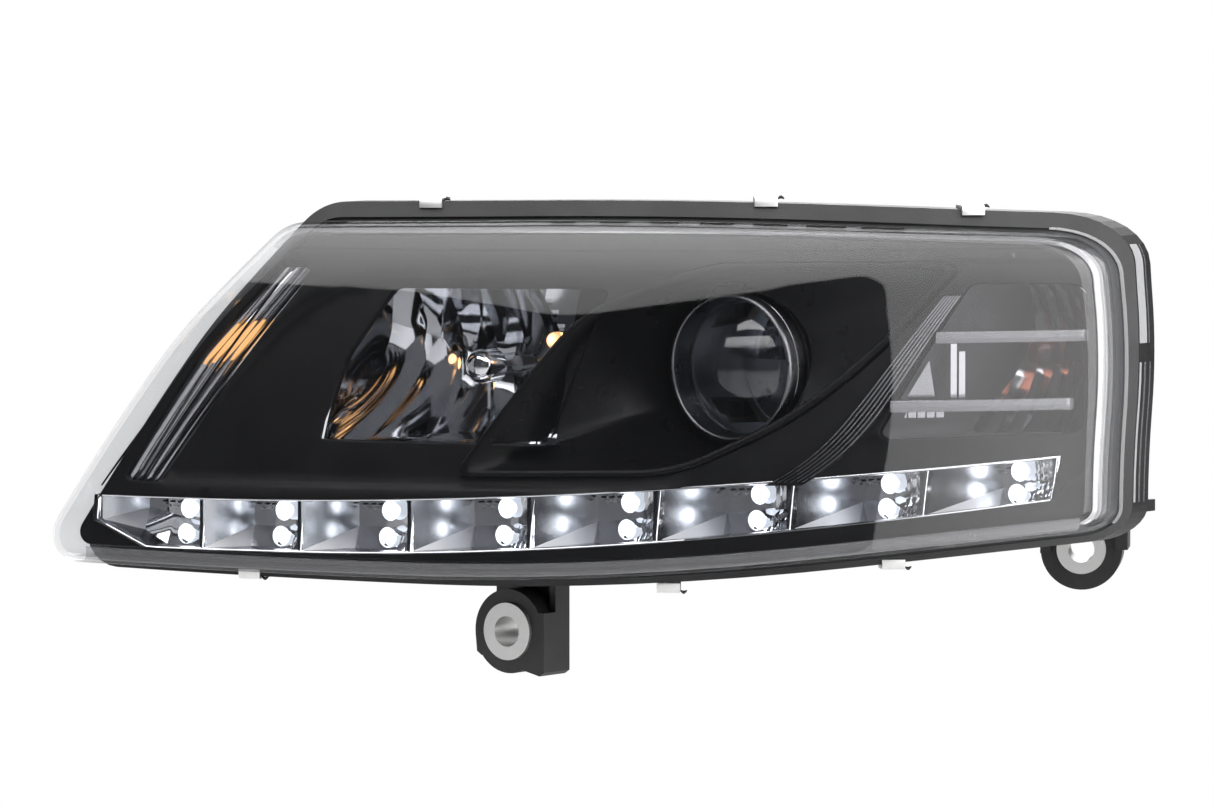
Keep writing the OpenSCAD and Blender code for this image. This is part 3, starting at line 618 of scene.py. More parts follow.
def edge_prisms():
    """Fine prisms moulded into the lens: along its top, its outboard end (in the lighter milky finish, a
    painted highlight), and a frosted band at its foot.
    """
    piece = Piece("lens_edge_prisms")
    contour = ring(CORNERS, -3.6, arc=12, step=0.9)
    top = [p for p in contour if p[1] > 60 and -168 < p[0] < 162]
    outboard = [p for p in contour if p[0] > 150 and -72 < p[1] < 74]
    foot = [p for p in ring(CORNERS, -1.6, arc=12, step=0.9) if p[1] < -72 and -250 < p[0] < 184]
    for line, slot, reach, start in ((top, 0, 1.0, 3.4), (outboard, 1, 0.8, 4.6), (foot, 2, 2.4, 3.4)):
        rows = []
        for k, p in enumerate(line):
            up = 0.5 if k % 2 else 0.0
            toward = Vector((0, 1)) if slot == 2 else (LENS_MIDDLE - Vector(p)).normalized()
            row = []
            for across, lifted in ((0, 0), (0.25, 0.9), (1.6, 1.2 + up), (2.6, 0.6), (2.8, 0)):
                q = Vector(p) + toward * across * reach
                row.append(behind_lens(q.x, q.y, start + lifted))
            rows.append(row)
        piece.drape(rows, slot)
    piece.finish((), "cover_clear", (PRISM, PAINTED_EDGE_HIGHLIGHT, FROST), sharp=20)


def edge_bands():
    """Painted highlights: bands of light in the lens's outboard edge, inside its wall and where it wraps the
    flange, in a lighter and a darker milky finish.
    """
    piece = Piece("lens_edge_bands")
    wall = [p for p in ring(CORNERS, -3.4, arc=12, step=3) if p[0] > 158 and -70 < p[1] < 70]
    wrapped = [(x, z + FLANGE_RISE if z > 60 else z, r) for x, z, r in CORNERS]
    side = ring(wrapped, FLANGE + 0.15, arc=12, step=2)
    high_side = [p for p in side if p[0] > 160 and 17 < p[1] < 72]
    low_side = [p for p in side if p[0] > 160 and -62 < p[1] < 11]
    front = [
        row for row in zip(*[ring(CORNERS, d, arc=12, step=3) for d in (0.9, 1.5, 2.1)])
        if row[0][0] > 150 and -72 < row[0][1] < 80
    ]
    piece.drape([[behind_lens(x, z, 38.6, RIM_ASIDE) for x, z in row] for row in front], 1)
    bright, dim = 0, 1
    for line, start, end, aside, slot in (
        (wall, 4.5, 6, 0, bright), (wall, 8, 15, 0, dim),
        (high_side, 39.6, 46.5, RIM_ASIDE, bright), (high_side, 48, 49, RIM_ASIDE, dim),
        (low_side, 39.6, 41.4, RIM_ASIDE, bright), (low_side, 44, 45.5, RIM_ASIDE, dim),
        (low_side, 49, 50, RIM_ASIDE, dim),
    ):
        depths = (start, (start + end) / 2, end)
        piece.drape([[behind_lens(p[0], p[1], d, aside) for d in depths] for p in line], slot)
    piece.finish((), "cover_clear", (PAINTED_EDGE_HIGHLIGHT, PRISM), sharp=30)


def ray_out(loop, centre, angle):
    """Where the ray from centre at the angle leaves the loop."""
    way = Vector((cos(angle), sin(angle)))
    best = None
    for a, b in zip(loop, loop[1:] + loop[:1]):
        a, b = Vector(a) - centre, Vector(b) - centre
        span = b - a
        cross = way.x * span.y - way.y * span.x
        if abs(cross) < 1e-9:
            continue
        t = (a.x * span.y - a.y * span.x) / cross
        u = (a.x * way.y - a.y * way.x) / cross
        if t > 0 and -1e-6 <= u <= 1 + 1e-6 and (best is None or t > best):
            best = t
    return centre + way * best


def pod():
    """Tear-drop shroud: rounded rim and a smooth dish that runs in to the projector."""
    piece = Piece("pod_shell")
    steps = 160
    centre = Vector((PROJ.x, PROJ.z))
    angles = [2 * pi * k / steps for k in range(steps)]

    def outline(d):
        loop = ring(POD, d, arc=10, step=5.0)
        return [ray_out(loop, centre, a) for a in angles]

    profile = [
        (0.5, 24), (0.3, 18.6), (0.1, 17.2), (-0.4, 16.4), (-1.3, 16), (-2.3, 16.2), (-3.2, 17.0),
        (-3.9, 18.4),
    ]
    rings = [lift(outline(d), at(deep)) for d, deep in profile]
    rim = outline(-3.9)
    well = [centre + Vector((cos(a), sin(a))) * 43.2 for a in angles]
    inner_y = PROJ.y + 13.5
    for k in range(1, 19):
        t = k / 18
        row = []
        for p, q in zip(rim, well):
            flat = p.lerp(q, t)
            well_depth = max(inner_y - front_y(q.x, q.y), 21.0)
            depth = 18.4 + (well_depth - 18.4) * (0.62 * t + 0.38 * t ** 3)
            row.append(behind_lens(flat.x, flat.y, depth))
        rings.append(row)
    last = rings[-1]
    rings.append([(x, y + 6, z) for x, y, z in last])
    piece.loft(rings, 0)
    piece.finish(["projector_pod"], "pod_black", (PIANO,), sharp=60)


LOUVRE_DEPTH = 17.0
LOUVRE_LINES = 6


def louvre_x(z, s):
    """Across the louvred strip at height z: s runs from -1 at its inboard edge to 1."""
    t = (48 - z) / 98
    half = 3 + 2.6 * min(1.0, t * 1.6) + 1.6 * max(t, 0) ** 6
    return 123 - 36 * t - 16 * max(t, 0) ** 6 + s * half


def louvres():
    """Curved dark strip with fine bright lines along it."""
    piece = Piece("louvre_ribs")
    levels = [-50 + k * 98 / 56 for k in range(57)]
    rows = []
    for z in levels:
        row = []
        for s, sink in ((-1, 1.6), (-0.92, 0.2), (-0.8, 0), (0, 0.25), (0.8, 0), (0.92, 0.2), (1, 1.6)):
            x = louvre_x(z, s)
            row.append(behind_lens(x, z, LOUVRE_DEPTH + sink))
        rows.append(row)
    piece.drape(rows)
    for line in range(LOUVRE_LINES):
        rows = []
        for z in levels[1:-1]:
            x = louvre_x(z, -0.82 + 1.64 * line / (LOUVRE_LINES - 1))
            rows.append([
                behind_lens(x + across, z, LOUVRE_DEPTH + 0.1 - lifted)
                for across, lifted in ((-0.32, 0), (-0.18, 0.6), (0, 0.75), (0.18, 0.6), (0.32, 0))
            ])
        piece.drape(rows, 1)
    piece.finish(["louvre_strip"], "satin_grey", (RIBS, RIB_LINES), sharp=60)


# ---- high beam -----------------------------------------------------------------------------------
HIGH = Vector((-88, 58, 8))
HIGH_F = 18
HIGH_ROOF = 50.5
HIGH_FLOOR = -29.5


def high_bowl(x, z):
    return HIGH.y - ((x - HIGH.x) ** 2 + (z - HIGH.z) ** 2) / (4 * HIGH_F)


def high_opening_x(z):
    """Inboard edge of the high-beam opening at height z."""
    up = z + 28
    return -137 + 0.09 * up + 3.6e-5 * up ** 3


def high_fold(z):
    """Where the inboard wall meets the bowl: x and y at height z."""
    t = min(max((z - HIGH_FLOOR) / 80, 0.0), 1.0)
    return -138.5 - 4.5 * sin(pi * t * 0.8), -58 + 66 * sin(pi / 2 * min(1.0, t * 1.35))


def high_reflector():
    """Smooth bowl in upright bands, a leaf-shaped inboard wall, a ribbed roof and a plain floor."""
    piece = Piece("high_reflector_bowl")
    bands = [-132, -120, -107, -92, -74, -52, -27]
    fine = 7
    z_steps = [HIGH_FLOOR + 80 * k / 44 for k in range(45)]

    def bowl_y(x, z):
        fold_x, fold_y = high_fold(z)
        pull = max(0.0, 1 - (x - fold_x) / 42) ** 2
        bowl = high_bowl(x, z) + (fold_y - high_bowl(fold_x, z)) * pull
        return max(bowl, front_y(x, z, BEZEL_DEPTH + 4))

    rows = []
    for z in z_steps:
        start = high_fold(z)[0]
        row = []
        edges = [start] + bands
        for a, b in zip(edges, edges[1:]):
            for k in range(fine):
                x = a + (b - a) * k / fine
                row.append((x, bowl_y(x, z) - 1.5 * sin(pi * k / fine), z))
        row.append((bands[-1], bowl_y(bands[-1], z), z))
        rows.append(row)
    piece.drape(rows)
    # leaf-shaped inboard wall from the opening's edge to the fold
    leaf = []
    for z in z_steps:
        fold_x, fold_y = high_fold(z)
        x0 = high_opening_x(z) - 0.6
        y0 = front_y(x0, z, BEZEL_DEPTH + 3)
        row = []
        for k in range(13):
            t = k / 12
            swell = 2.2 * sin(pi * t) * (0.4 + 0.6 * sin((z + 40) * 0.09) ** 2)
            row.append((x0 + (fold_x - x0) * t - swell, y0 + (fold_y - y0) * t, z))
        leaf.append(row)
    piece.drape(leaf)
    # bright lip along the leaf's edge, in lighter chrome than the bowl: a painted highlight line
    lip_rows = []
    for z in z_steps:
        x0 = high_opening_x(z)
        y0 = front_y(x0, z, BEZEL_DEPTH + 2.4)
        lip_rows.append([(x0 - 0.9, y0 + 0.9, z), (x0 - 0.2, y0 - 0.2, z), (x0 + 0.5, y0 + 0.7, z)])
    piece.drape(lip_rows, 1)
    # roof with ribs along the car, floor with a folded front edge
    xs = [-146 + k * 119 / 60 for k in range(61)]
    roof, base = [], []
    for x in xs:
        back = bowl_y(x, HIGH_ROOF)
        front = min(front_y(x, HIGH_ROOF, BEZEL_DEPTH + 4), back)
        wave = 0.8 * abs(sin(pi * (x + 146) / 8.5))
        roof.append([(x, front + (back - front) * k / 8, HIGH_ROOF - wave * (k > 0)) for k in range(9)])
        back = bowl_y(x, HIGH_FLOOR)
        front = min(front_y(x, HIGH_FLOOR, BEZEL_DEPTH + 3), back)
        step = 1.6 * smooth((x + 140) / 40)
        base.append([(x, front + (back - front) * k / 8, HIGH_FLOOR + step * (k > 0)) for k in range(9)])
    piece.drape(roof)
    piece.drape(base)
    # The bowl is chrome painted dark (painted shade); the lip is lighter chrome (painted highlight).
    piece.finish(["high_beam_reflector"], "chrome", (CHROME_PAINTED_DARK, MIRROR), sharp=22)


def high_bulb():
    glass = Piece("high_bulb_glass")
    dome = [(0.05, -6)] + [(6 * sin(a), -6 * cos(a)) for a in (0.3, 0.6, 0.9, 1.2, 1.5)]
    glass.turned((HIGH.x, 24, HIGH.z), dome + [(6, 6), (6, 20), (5.6, 24), (5.8, 33)], 0, cap="start")
    glass.finish(["high_beam_bulb"], "glass", (GLASS,))
    inner = Piece("high_bulb_burner")
    inner.turned((HIGH.x, 30, HIGH.z), [(0.05, 0), (1.2, 0.4), (1.3, 8), (0.6, 9), (0.5, 20)], 0, 16, "start")
    inner.turned((HIGH.x, 44, HIGH.z), [(0.1, 0), (4, 0.3), (4, 12), (0.1, 12.3)], 0, 24)
    inner.finish((), "steel", (STEEL,))
    cap = Piece("high_bulb_cap")
    cap.turned((HIGH.x, 8, HIGH.z), [
        (0.05, 0), (3, 0.15), (5.5, 0.7), (7.4, 1.9), (8.6, 3.8), (9, 6), (9, 16), (8.6, 16.2), (8.4, 15.8),
        (8.4, 6), (7.2, 3), (0.1, 1.6),
    ], 0, cap="start")
    cap.block((HIGH.x - 0.9, 20.2, -29.4), (HIGH.x + 0.9, 22.8, HIGH.z - 8.6))
    cap.finish(["high_bulb_shield"], "chrome", (CHROME,))


POSITION = Vector((-52, 30, 22))


def position_bulb():
    piece = Piece("position_bulb_lit")
    dome = [(4.5 * sin(a), -4.5 * cos(a)) for a in (0.02, 0.3, 0.6, 0.9, 1.2, 1.57)]
    piece.turned(POSITION, dome + [(4.5, 8), (4.2, 12), (4.4, 23.9)], 0, 40)
    holder = (POSITION.x, POSITION.y + 24, POSITION.z)
    piece.turned(holder, [(4.4, -0.1), (5.8, 0), (5.8, 12), (0.1, 12)], 1, 40)
    piece.finish(["position_bulb"], "warm_bulb", (WARM, GREY))


def side_edges(t):
    """Inboard and outboard edge of the slanted slot: t runs from its foot to its head."""
    z = -52 + 112 * t
    inboard = -240 + 34 * min(1.0, (z + 52) / 64) + 36.5 * max(0.0, (z - 12) / 48)
    return inboard, -221 + 69 * t, z


def side_window():
    """Slanted recess at the inboard end: chrome flutes along the slot, the upper ones given a painted warm
    glint that stands in for the warm light they reflect.
    """
    piece = Piece("side_window_flutes")
    flutes = 5
    rows = []
    for k in range(41):
        x0, x1, z = side_edges(k / 40)
        row = []
        for m in range(flutes * 4 + 1):
            s = m / (flutes * 4)
            x = x0 - 0.8 + (x1 - x0 + 1.6) * s
            sag = 2.0 + 3.5 * sin(pi * s) ** 0.7
            flute = 1.2 * sin(pi * (s * flutes % 1.0))
            row.append(behind_lens(x, z, BEZEL_DEPTH + sag - flute))
        rows.append(row)
    piece.drape(rows)
    piece.finish(["side_reflector"], "chrome", (GREYED,), sharp=25)
    # Painted reflection: these upper flutes glow warm by themselves and hold no bulb.
    glint_flutes = Piece("side_flutes_painted_glint")
    for s in (0.14, 0.32, 0.5, 0.68, 0.86):
        rows = []
        for k in range(17):
            x0, x1, z = side_edges(0.54 + 0.04 * s + 0.19 * k / 16)
            middle = x0 + (x1 - x0) * s
            half = 1.75 * sin(pi * (k + 1.2) / 18.4) ** 0.5
            rows.append([
                behind_lens(middle + half * a, z, BEZEL_DEPTH + 2.6 - up)
                for a, up in ((-1, 0), (-0.5, 0.8), (0, 1.1), (0.5, 0.8), (1, 0))
            ])
        glint_flutes.drape(rows)
    glint_flutes.finish((), "warm_bulb", (PAINTED_WARM_GLINT,))


# ---- turn signal ---------------------------------------------------------------------------------
TURN_AT = Vector((137, 236, 14))
TURN_F = 14


def turn_reflector():
    piece = Piece("turn_reflector_facets")
    x_lines = [101 + k * 73 / 9 for k in range(10)]
    z_lines = [-29 + k * 82 / 8 for k in range(9)]
    fine = 4

    def bowl(x, z):
        return TURN_AT.y - ((x - TURN_AT.x) ** 2 + (z - TURN_AT.z) ** 2) / (4 * TURN_F)

    for i in range(9):
        for j in range(8):
            x0, x1, z0, z1 = x_lines[i], x_lines[i + 1], z_lines[j], z_lines[j + 1]
            rows = []
            for a in range(fine + 1):
                row = []
                for b in range(fine + 1):
                    x = x0 + (x1 - x0) * a / fine
                    z = z0 + (z1 - z0) * b / fine
                    crown = 1.1 * sin(pi * a / fine) + 0.5 * sin(pi * b / fine)
                    row.append((x, max(bowl(x, z), front_y(x, z, 24)) - crown * 0.8, z))
                rows.append(row)
            piece.drape(rows)
    # side walls from the opening back to the bowl
    rings = []
    for t in range(7):
        s = t / 6
        flat = ring(TURN, 1.5)
        rings.append([
            (p.x, front_y(p.x, p.y, BEZEL_DEPTH + 3) * (1 - s) + (bowl(p.x, p.y) + 2) * s, p.y) for p in flat
        ])
    piece.loft(rings, 1)
    piece.finish(["turn_reflector"], "chrome", (GREYED, GREY), sharp=16)


def turn_facets():
    """Pale folded plates behind the light bars."""
    piece = Piece("turn_facet_plates")
    foot, head, corner = (107.5, 121.8, -6), (116, 130, 13), (117.5, 133, -6)
    piece.face([piece.point(p) for p in (foot, corner, head)], 0)
    piece.face([piece.point(p) for p in (foot, head, (106.5, 126, -5))], 0)
    plates = [(x, 1.8, 0, -7, top, top) for x, top in ((119.5, 21), (122.5, 17))]
    plates += [(102.5 + 3.4 * k, 2.8, -15, -17, -14.2, -13.6) for k in range(5)]
    for x, wide, level, foot_z, near_z, far_z in plates:
        y = front_y(x, level, 40)
        plate = ((x, y, foot_z), (x + wide, y + 3, foot_z), (x + wide, y + 3, far_z), (x, y, near_z))
        piece.face([piece.point(p) for p in plate], 0)
    piece.finish((), "chrome", (GREYED,))


def turn_bars():
    """Two clear light bars across the turn window."""
    piece = Piece("turn_light_bars")
    for z in (25, -10):
        first = louvre_x(z + 4, 1) + 1.2
        rows = []
        for k in range(41):
            x = first + (171 - first) * k / 40
            row = []
            for m in range(16):
                a = 2 * pi * m / 16
                up = 3.1 * math.copysign(abs(sin(a)) ** 0.5, sin(a))
                out = 1.8 * math.copysign(abs(cos(a)) ** 0.5, cos(a))
                row.append((x, front_y(x, z, 15.6) + out, z + up))
            rows.append(row)
        piece.loft(rows, 0, closed=True, cap="startend")
    piece.finish(["turn_bars"], "glass", (BARS,), sharp=40)


def turn_bulb():
    piece = Piece("turn_bulb_glass")
    centre = (TURN_AT.x, 206, TURN_AT.z)
    dome = [(9 * sin(a), -9 * cos(a)) for a in (0.02, 0.3, 0.6, 0.9, 1.2, 1.57, 1.8, 2.0)]
    piece.turned(centre, dome + [(7.5, 8), (7.3, 27.8)], 0, 48)
    piece.finish(["turn_bulb"], "amber_bulb", (AMBER,), body="turn_holder")


# ---- running light -------------------------------------------------------------------------------
def cell_back(i):
    x = CELLS[i + 1]
    return front_y(x, strip_top(x)) + 22 + 11


LED_R = 3.4


def led_x(i):
    return CELLS[i + 1] - 16 - 2 * i


def led_z(i, s):
    x = led_x(i)
    return (strip_top(x) + strip_low(x)) / 2 + s * (strip_top(x) - strip_low(x)) * 0.26


def patch(piece, a, b, c, d, slot, across, up, relief=None):
    """Four-cornered facet: a and b are its foot, c and d its head above b and a."""
    a, b, c, d = (Vector(p) for p in (a, b, c, d))
    rows = []
    for k in range(up + 1):
        left, right = a.lerp(d, k / up), b.lerp(c, k / up)
        row = []
        for m in range(across + 1):
            p = left.lerp(right, m / across)
            row.append(p + Vector((0, relief(p) if relief else 0, 0)))
        rows.append(row)
    piece.drape(rows, slot)


# Section of the blade between two cells: across it and back from its edge
BLADE = [
    (-1.5, 5), (-1.5, 0.5), (-1.2, 0), (-0.8, 0.4), (-0.6, 2.2), (0.6, 2.4), (0.8, 0.7), (1.2, 0.3),
    (1.5, 0.8), (1.5, 5),
]


def drl():
    """Eight mirror cells: a raked inboard wall, a folded back and a floor that meets it in a crease."""
    piece = Piece("drl_mirror_cells")
    for i in range(8):
        x0, x1 = CELLS[i] + 1.2, CELLS[i + 1] - 0.6
        low_0, low_1 = strip_low(x0) + 0.1, strip_low(x1) + 0.1
        top_0, top_1 = strip_top(x0) - 0.1, strip_top(x1) - 0.1
        back = cell_back(i) - 0.5
        front = front_y(x0, low_0, 22)
        bend = x0 + (back - front) * math.tan(radians(max(1.0, 23 - 4 * i)))
        crease_0 = low_0 + (top_0 - low_0) * 0.42
        crease_1 = low_1 + (top_1 - low_1) * 0.42
        fold = back - 7.0
        inner = bend + 2.5

        def dimples(p):
            beyond = smooth((p.x - led_x(i) - 5) / 2.5)
            return -0.55 * beyond * abs(sin(p.x * 1.9) * sin(p.z * 1.9))

        corner, crease, top = (x0, front, low_0), (bend, back, crease_0), (bend, back, top_0)
        patch(piece, corner, crease, top, (x0, front, top_0), 1, 14, 8)
        patch(piece, corner, (inner, fold, strip_low(inner) + 0.1), crease, corner, 2, 4, 4)
        rows = []
        for k in range(9):
            u = k / 8
            left = inner + (bend - inner) * u
            row = []
            for m in range(41):
                x = left + (x1 - left) * m / 40
                foot = strip_low(x) + 0.1
                level = crease_0 + (crease_1 - crease_0) * (x - bend) / (x1 - bend)
                p = Vector((x, fold + (back - fold) * u, foot + (level - foot) * u))
                row.append(p + Vector((0, dimples(p), 0)))
            rows.append(row)
        piece.drape(rows)
        patch(piece, crease, (x1, back, crease_1), (x1, back, top_1), top, 0, 40, 10, dimples)
        # roof and floor, out to the slot's curved front edge
        for edge, inner_y, slot in ((strip_top, back, 0), (strip_low, fold, 1)):
            rows = []
            for k in range(17):
                x = x0 + (x1 - x0) * k / 16
                z = edge(x) + (-0.1 if edge is strip_top else 0.1)
                start = front_y(x, z, 21)
                wall = front + (back - front) * min(1.0, (x - x0) / (bend - x0))
                end = max(min(wall, inner_y), start + 0.1)
                rows.append([(x, start + (end - start) * m / 3, z) for m in range(4)])
            piece.drape(rows, slot)
        end_front = front_y(x1, low_1, 22)
        foot, head = (x1, end_front, low_1), (x1, end_front, top_1)
        patch(piece, foot, (x1, fold, low_1), (x1, back, top_1), head, 0, 4, 4)
    # two-edged blade between two cells
    for i in range(1, 8):
        x = CELLS[i]
        rows = []
        for k in range(5):
            z = strip_low(x) + 0.2 + (strip_top(x) - strip_low(x) - 0.4) * k / 4
            y = front_y(x, z, 21.2)
            rows.append([(x + across, y + deep, z) for across, deep in BLADE])
        piece.drape(rows, 3)
    piece.finish(["drl_reflector"], "chrome", (MIRROR, SOFT_CHROME, PALE, CHROME), sharp=12)


def leds():
    dies = Piece("led_domes")
    cups = Piece("led_cups")
    for i in range(8):
        for s in (-1, 1):
            forward = 5.5 if s < 0 else 3
            centre = (led_x(i), cell_back(i) - forward, led_z(i, s))
            dome = [(LED_R * sin(a), -LED_R * cos(a)) for a in (0.02, 0.35, 0.7, 1.05, 1.4, 1.57)]
            dies.turned(centre, dome + [(LED_R, 2.4)], 0, 28)
            # The cups carry the painted glow round each LED dome.
            cups.turned(centre, [(4.7, -1.2), (5.2, -1.6), (5.4, -1.2), (4.9, 0.4), (3.5, 2.4)], 0, 28)
    dies.finish(["drl_leds"], "led_white", (LED,))
    cups.finish((), "led_white", (LED_CUP_PAINTED_GLOW,))
    chips = Piece("led_board_chips")
    for i in range(8):
        x1 = led_x(i) - 6
        for k in range(5):
            x = x1 - 3 - 2.6 * k
            z = strip_top(x) - 3.4 - 2.4 * (k % 2)
            y = cell_back(i) - 0.9
            chips.block((x - 0.9, y - 0.8, z - 0.5), (x + 0.9, y, z + 0.5), k % 2)
    chips.finish((), "board_green", (CUT, PALE))


def drl_frame():
    """Bright rounded frame round the running-light slot."""
    piece = Piece("drl_frame_line")
    rings = []
    section = ((-0.5, 2.6), (-0.4, 0.8), (-0.1, 0.15), (0.4, 0.0), (0.8, 0.25), (0.95, 0.8), (0.95, 2.2))
    for d, deeper in section:
        rings.append(lift(strip(d), at(BEZEL_DEPTH + 0.9 + deeper)))
    piece.loft(rings, 0)
    piece.finish(["drl_trim"], "chrome", (CHROME,), sharp=40)


# ---- projector -----------------------------------------------------------------------------------
def projector():
    lens = Piece("projector_glass_lens")
    radius, height = 34.5, 20.0
    ball_r = (radius**2 + height**2) / (2 * height)
    limit = math.asin(radius / ball_r)
    angles = [limit * k / 24 for k in range(25)]
    dome = [(max(ball_r * sin(a), 0.01), ball_r - ball_r * cos(a)) for a in angles]
    lens.turned(PROJ, dome + [(34.6, 20), (36, 20.05), (36, 23.9), (0.01, 23.95)], 0, 96)
    lens.finish(["projector_lens"], "glass", (OPTIC,), sharp=30, body="projector")
    trim = Piece("projector_ring")
    profile = [
        (34.75, 19.6), (35.0, 18), (35.6, 12), (36.1, 9.3), (36.5, 8.4), (37.1, 8.05), (37.8, 8.15),
        (38.4, 8.7), (38.8, 9.8), (38.95, 11.5), (38.95, 14), (38.6, 14.4), (38.6, 15.6), (38.95, 16),
        (38.95, 23.9), (36.2, 23.9), (36.2, 20),
    ]
    trim.turned(PROJ, profile + [profile[0]], 0, 96)
    trim.finish(["lens_ring"], "satin_grey", (SATIN,), sharp=40, body="projector")


# ---- clips, CAD nodes and their finishes -----------------------------------------------------------
CLIPS = [(-109, 1), (41, 1), (121, 1), (-177, -1), (25, -1), (115, -1)]
FLANGE = 5
FLANGE_RISE = 4.5


def edge_z(x, side):
    """Height of the outline's top or bottom edge at x."""
    if side > 0:
        return 87 - (x - 20) * 0.061 if x > 20 else 87 + (x - 20) * 0.0165
    return -99.5 - (x - 10) * 0.021 if x < 10 else -99.5 + (x - 10) * 0.131


def lens_clips():
    """Spring clips over the flange: a bent steel plate with a dark hook at one end."""
    piece = Piece("lens_clip_plates")
    for x, side in CLIPS:
        z = edge_z(x - 8, side) + side * FLANGE + (FLANGE_RISE if side > 0 else 0)
        here = x - RIM_ASIDE
        slope = math.atan2(front_y(here + 5, z) - front_y(here - 5, z), 10)
        lean = side * 3.5 * (z - BALL.z) / (BALL.y - front_y(here, z))
        nose, tail = -0.6 - max(0.0, lean), 15 * cos(slope) + 0.6 + max(0.0, -lean)
        base = Vector((x, front_y(here, z) + 39, z))
        along = Vector((cos(slope), sin(slope), 0))
        over = Vector((-sin(slope), cos(slope), 0))
        bent = [
            (nose, -3.2), (nose, 0.3), (nose + 0.4, 0.9), (tail - 0.4, 0.9), (tail, 0.3), (tail, -3.2),
            (tail + 0.9, -3.2), (tail + 1, 0.8), (tail + 0.2, 1.8), (nose - 0.2, 1.8), (nose - 1, 0.8),
            (nose - 0.9, -3.2),
        ]
        rings = []
        for across, thin in ((-6.0, 0.6), (-5.7, 1), (5.7, 1), (6.0, 0.6)):
            middle, share = (nose + tail) / 2, 0.97 + 0.03 * thin
            rings.append([
                base + along * across + over * (middle + (a - middle) * share) + Vector((0, 0, side * b))
                for a, b in bent
            ])
        piece.loft(rings, 0, cap="startend")
        hook = []
        for k in range(9):
            t = k / 8
            rise = side * (0.7 + 0.9 * sin(pi * t))
            centre = base + along * (6.2 + 3.4 * t) + over * 1.5 + Vector((0, 0, rise))
            size = 0.9 * sin(pi * (0.15 + 0.7 * t))
            hook.append([
                centre + over * size * 1.6 * cos(a) + Vector((0, 0, size * sin(a)))
                for a in (2 * pi * m / 10 for m in range(10))
            ])
        piece.loft(hook, 1, cap="startend")
    piece.finish(["lens_clips"], "clip_steel", (CLIP, SEAL), sharp=40)


FINISHES = (
    (HOUSING, "housing lower_bracket outer_bracket"), (ALLOY, "lens_carrier lower_bush outer_bush"),
    (STEEL, "high_beam_bulb_base low_beam_bulb_base high_bulb_clip low_bulb_clip cutoff_shade"),
    (STEEL, "pivot_studs bracket_screws bezel_screws"), (SEAL, "lens_seal vent_caps internal_lead"),
    (GREY, "turn_bulb_holder drl_driver aiming_frame level_motor main_connector"), (BOARD, "drl_boards"),
    (NYLON, "aim_nut yaw_screw pitch_screw level_rod"), (CAPS, "low_beam_cap high_beam_cap"),
    (RED, "low_cap_seal high_cap_seal"), (CHROME, "bowl_reflector"), (GLASS, "low_beam_bulb"),
    (GOLD, "connector_pins"),
)


def finish_nodes():
    """CAD nodes that stay visible as they are get their finish."""
    for finish, names in FINISHES:
        for name in names.split():
            mesh = frame["nodes"][name].data
            for k in range(len(mesh.materials)):
                mesh.materials[k] = finish
            if not mesh.materials:
                mesh.materials.append(finish)


# ---- studio --------------------------------------------------------------------------------------
FLOOR_BELOW = 0.12
CARD_AWAY = 2.6
def soft_box(name, centre, target, width, height, power):
    lamp = bpy.data.lights.new(name, "AREA")
    lamp.shape = "RECTANGLE"
    lamp.size = width
    lamp.size_y = height
    lamp.energy = power
    made = put(name, lamp)
    made.location = centre
    made.rotation_euler = (Vector(target) - Vector(centre)).to_track_quat("-Z", "Y").to_euler()


def glow(name, centre, power, colour, size):
    lamp = bpy.data.lights.new(name, "POINT")
    lamp.energy = power
    lamp.color = colour
    lamp.shadow_soft_size = size
    put(name, lamp).location = place(centre)


def card():
    """Soft card whose mirror image in the cover lens is the grey veil along its top and outboard side."""
    veil = [
        (-300, 58, 1), (-95, 50.5, 250), (-20, 38, 90), (103, 59.5, 12), (117.5, -8, 250), (113, -130, 1),
        (228, -130, 1), (228, 138, 1), (-300, 138, 1),
    ]
    piece = Piece("veil_card")
    piece.sheet(ring(veil, 0, step=12), [], at(0), 12.0)
    mesh = piece.mesh
    mesh.verts.ensure_lookup_table()
    shine = mesh.verts.layers.float.new("shine")
    for v in mesh.verts:
        x, z = (v.co.x - SEAT.x) / MM, (v.co.z - SEAT.z) / MM
        v[shine] = 1.5 + 2.6 * smooth((z - 45) / 45) + 0.7 * smooth((x - 112) / 70) * smooth((90 - z) / 60)
        normal = (v.co - place(BALL)).normalized()
        ray = (v.co - EYE).normalized()
        v.co = v.co + (ray - normal * 2 * ray.dot(normal)) * CARD_AWAY
    made = put_mesh("veil_card", mesh)
    made.visible_camera = False
    made.visible_shadow = False
    look, tree, shader = material("veil_light")
    tree.nodes.remove(shader)
    light, level = node(tree, "Emission"), node(tree, "Attribute")
    level.attribute_name = "shine"
    surface = tree.nodes["Material Output"].inputs["Surface"]
    join(tree, (level.outputs["Fac"], light.inputs["Strength"]), (light.outputs[0], surface))
    made.data.materials.append(look)


def seen_white(tree, dim, kind, end):
    """White to the camera, the given shader to everything else."""
    white = node(tree, kind, Color=(1, 1, 1, 1), Strength=1.0)
    mix = node(tree, "MixShader")
    join(
        tree, (node(tree, "LightPath").outputs["Is Camera Ray"], mix.inputs[0]),
        (dim.outputs[0], mix.inputs[1]), (white.outputs[0], mix.inputs[2]),
        (mix.outputs[0], tree.nodes[end].inputs["Surface"]),
    )


def world():
    made = bpy.data.worlds.new("studio")
    bpy.context.scene.world = made
    made.use_nodes = True
    dim = fill(made.node_tree.nodes["Background"], Color=(0.9, 0.94, 1, 1), Strength=0.07)
    seen_white(made.node_tree, dim, "Background", "World Output")


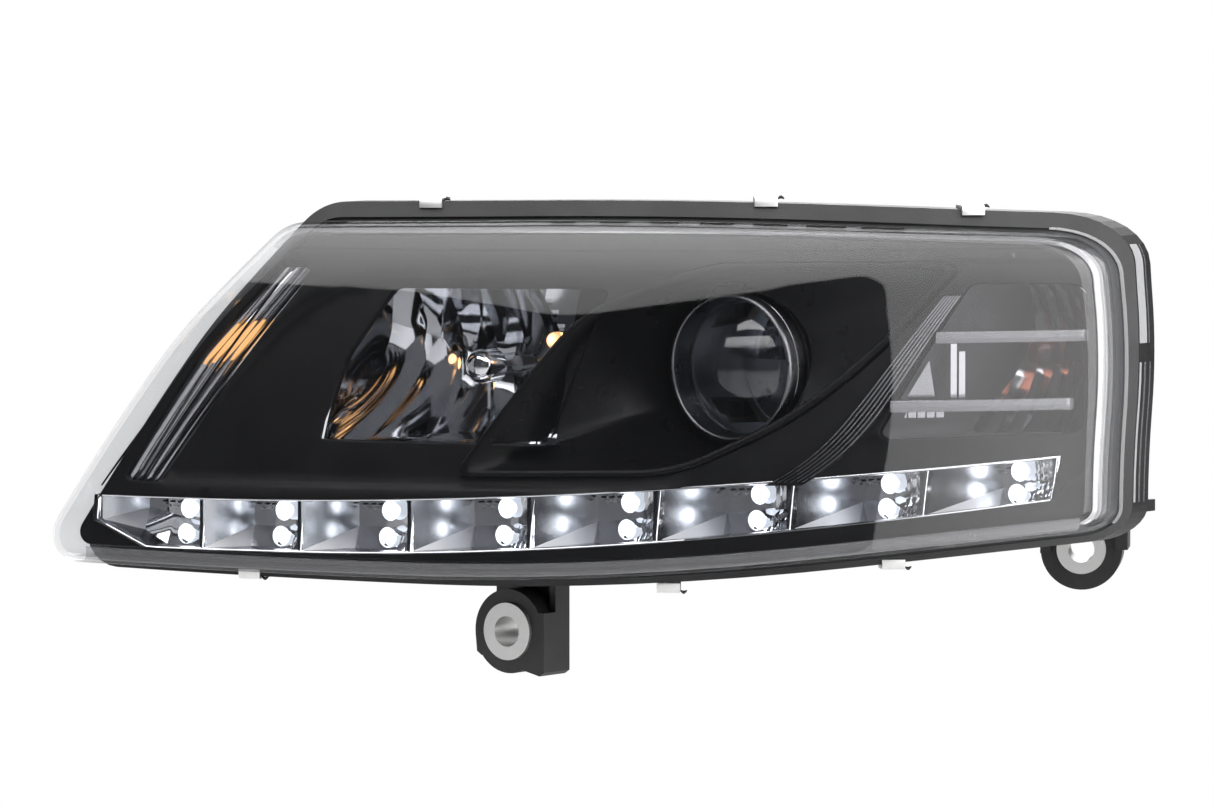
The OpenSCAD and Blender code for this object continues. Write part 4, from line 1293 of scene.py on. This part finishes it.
def floor():
    mesh = bmesh.new()
    bmesh.ops.create_grid(mesh, x_segments=1, y_segments=1, size=6)
    made = put_mesh("floor", mesh)
    made.location = (0, 0, CAD_BOX[0][2] - FLOOR_BELOW)
    paper, tree, shader = material("paper")
    fill(shader, Base_Color=(0.6, 0.6, 0.6, 1), Roughness=0.9)
    seen_white(tree, shader, "Emission", "Material Output")
    made.data.materials.append(paper)


AZIMUTH = radians(37)
ELEVATION = radians(4)
AWAY = Vector((
    sin(AZIMUTH) * cos(ELEVATION), -cos(AZIMUTH) * cos(ELEVATION), sin(ELEVATION),
))
RIGHT = Vector((cos(AZIMUTH), sin(AZIMUTH), 0))
UP = RIGHT.cross(-AWAY)
DISTANCE = 4.2
FRAME_WIDTH = 0.625
SENSOR = 36
AIM = SEAT + RIGHT * 0.0036 + UP * -0.0075
EYE = AIM + AWAY * DISTANCE


def camera():
    lens = bpy.data.cameras.new("camera")
    lens.sensor_width = SENSOR
    lens.lens = SENSOR * DISTANCE / FRAME_WIDTH
    lens.clip_end = 60
    made = put("camera", lens)
    made.location = EYE
    made.rotation_euler = (-AWAY).to_track_quat("-Z", "Y").to_euler()
    bpy.context.scene.camera = made


def lights():
    middle = place((0, 60, 0))
    soft_box("roof", middle + Vector((0.2, -0.6, 2.3)), middle, 2.6, 1.4, 55)
    soft_box("outboard", middle + Vector((2.4, 0.6, 0.5)), middle, 1.2, 2.2, 34)
    soft_box("inboard", middle + Vector((-2.2, -0.6, 0.5)), middle, 0.8, 1.8, 22)
    soft_box("behind", middle + Vector((-0.8, 2.4, 1.2)), middle, 2.4, 1.4, 40)
    glow("position_glow", (-52, 22, 24), 0.006, (1.0, 0.5, 0.18), 0.004)
    glow("side_glow", (-193, -36, 24), 0.002, (1.0, 0.5, 0.18), 0.004)


for build in (
    cover_lens, bezel, bezel_fins, edge_prisms, edge_bands, pod, louvres, high_reflector, high_bulb,
    position_bulb, side_window, turn_reflector, turn_facets, turn_bars, turn_bulb, drl, leds, drl_frame,
    projector, lens_clips, finish_nodes, world, floor, camera, lights, card,
):
    build()
bpy.context.scene.view_settings.view_transform = "Standard"
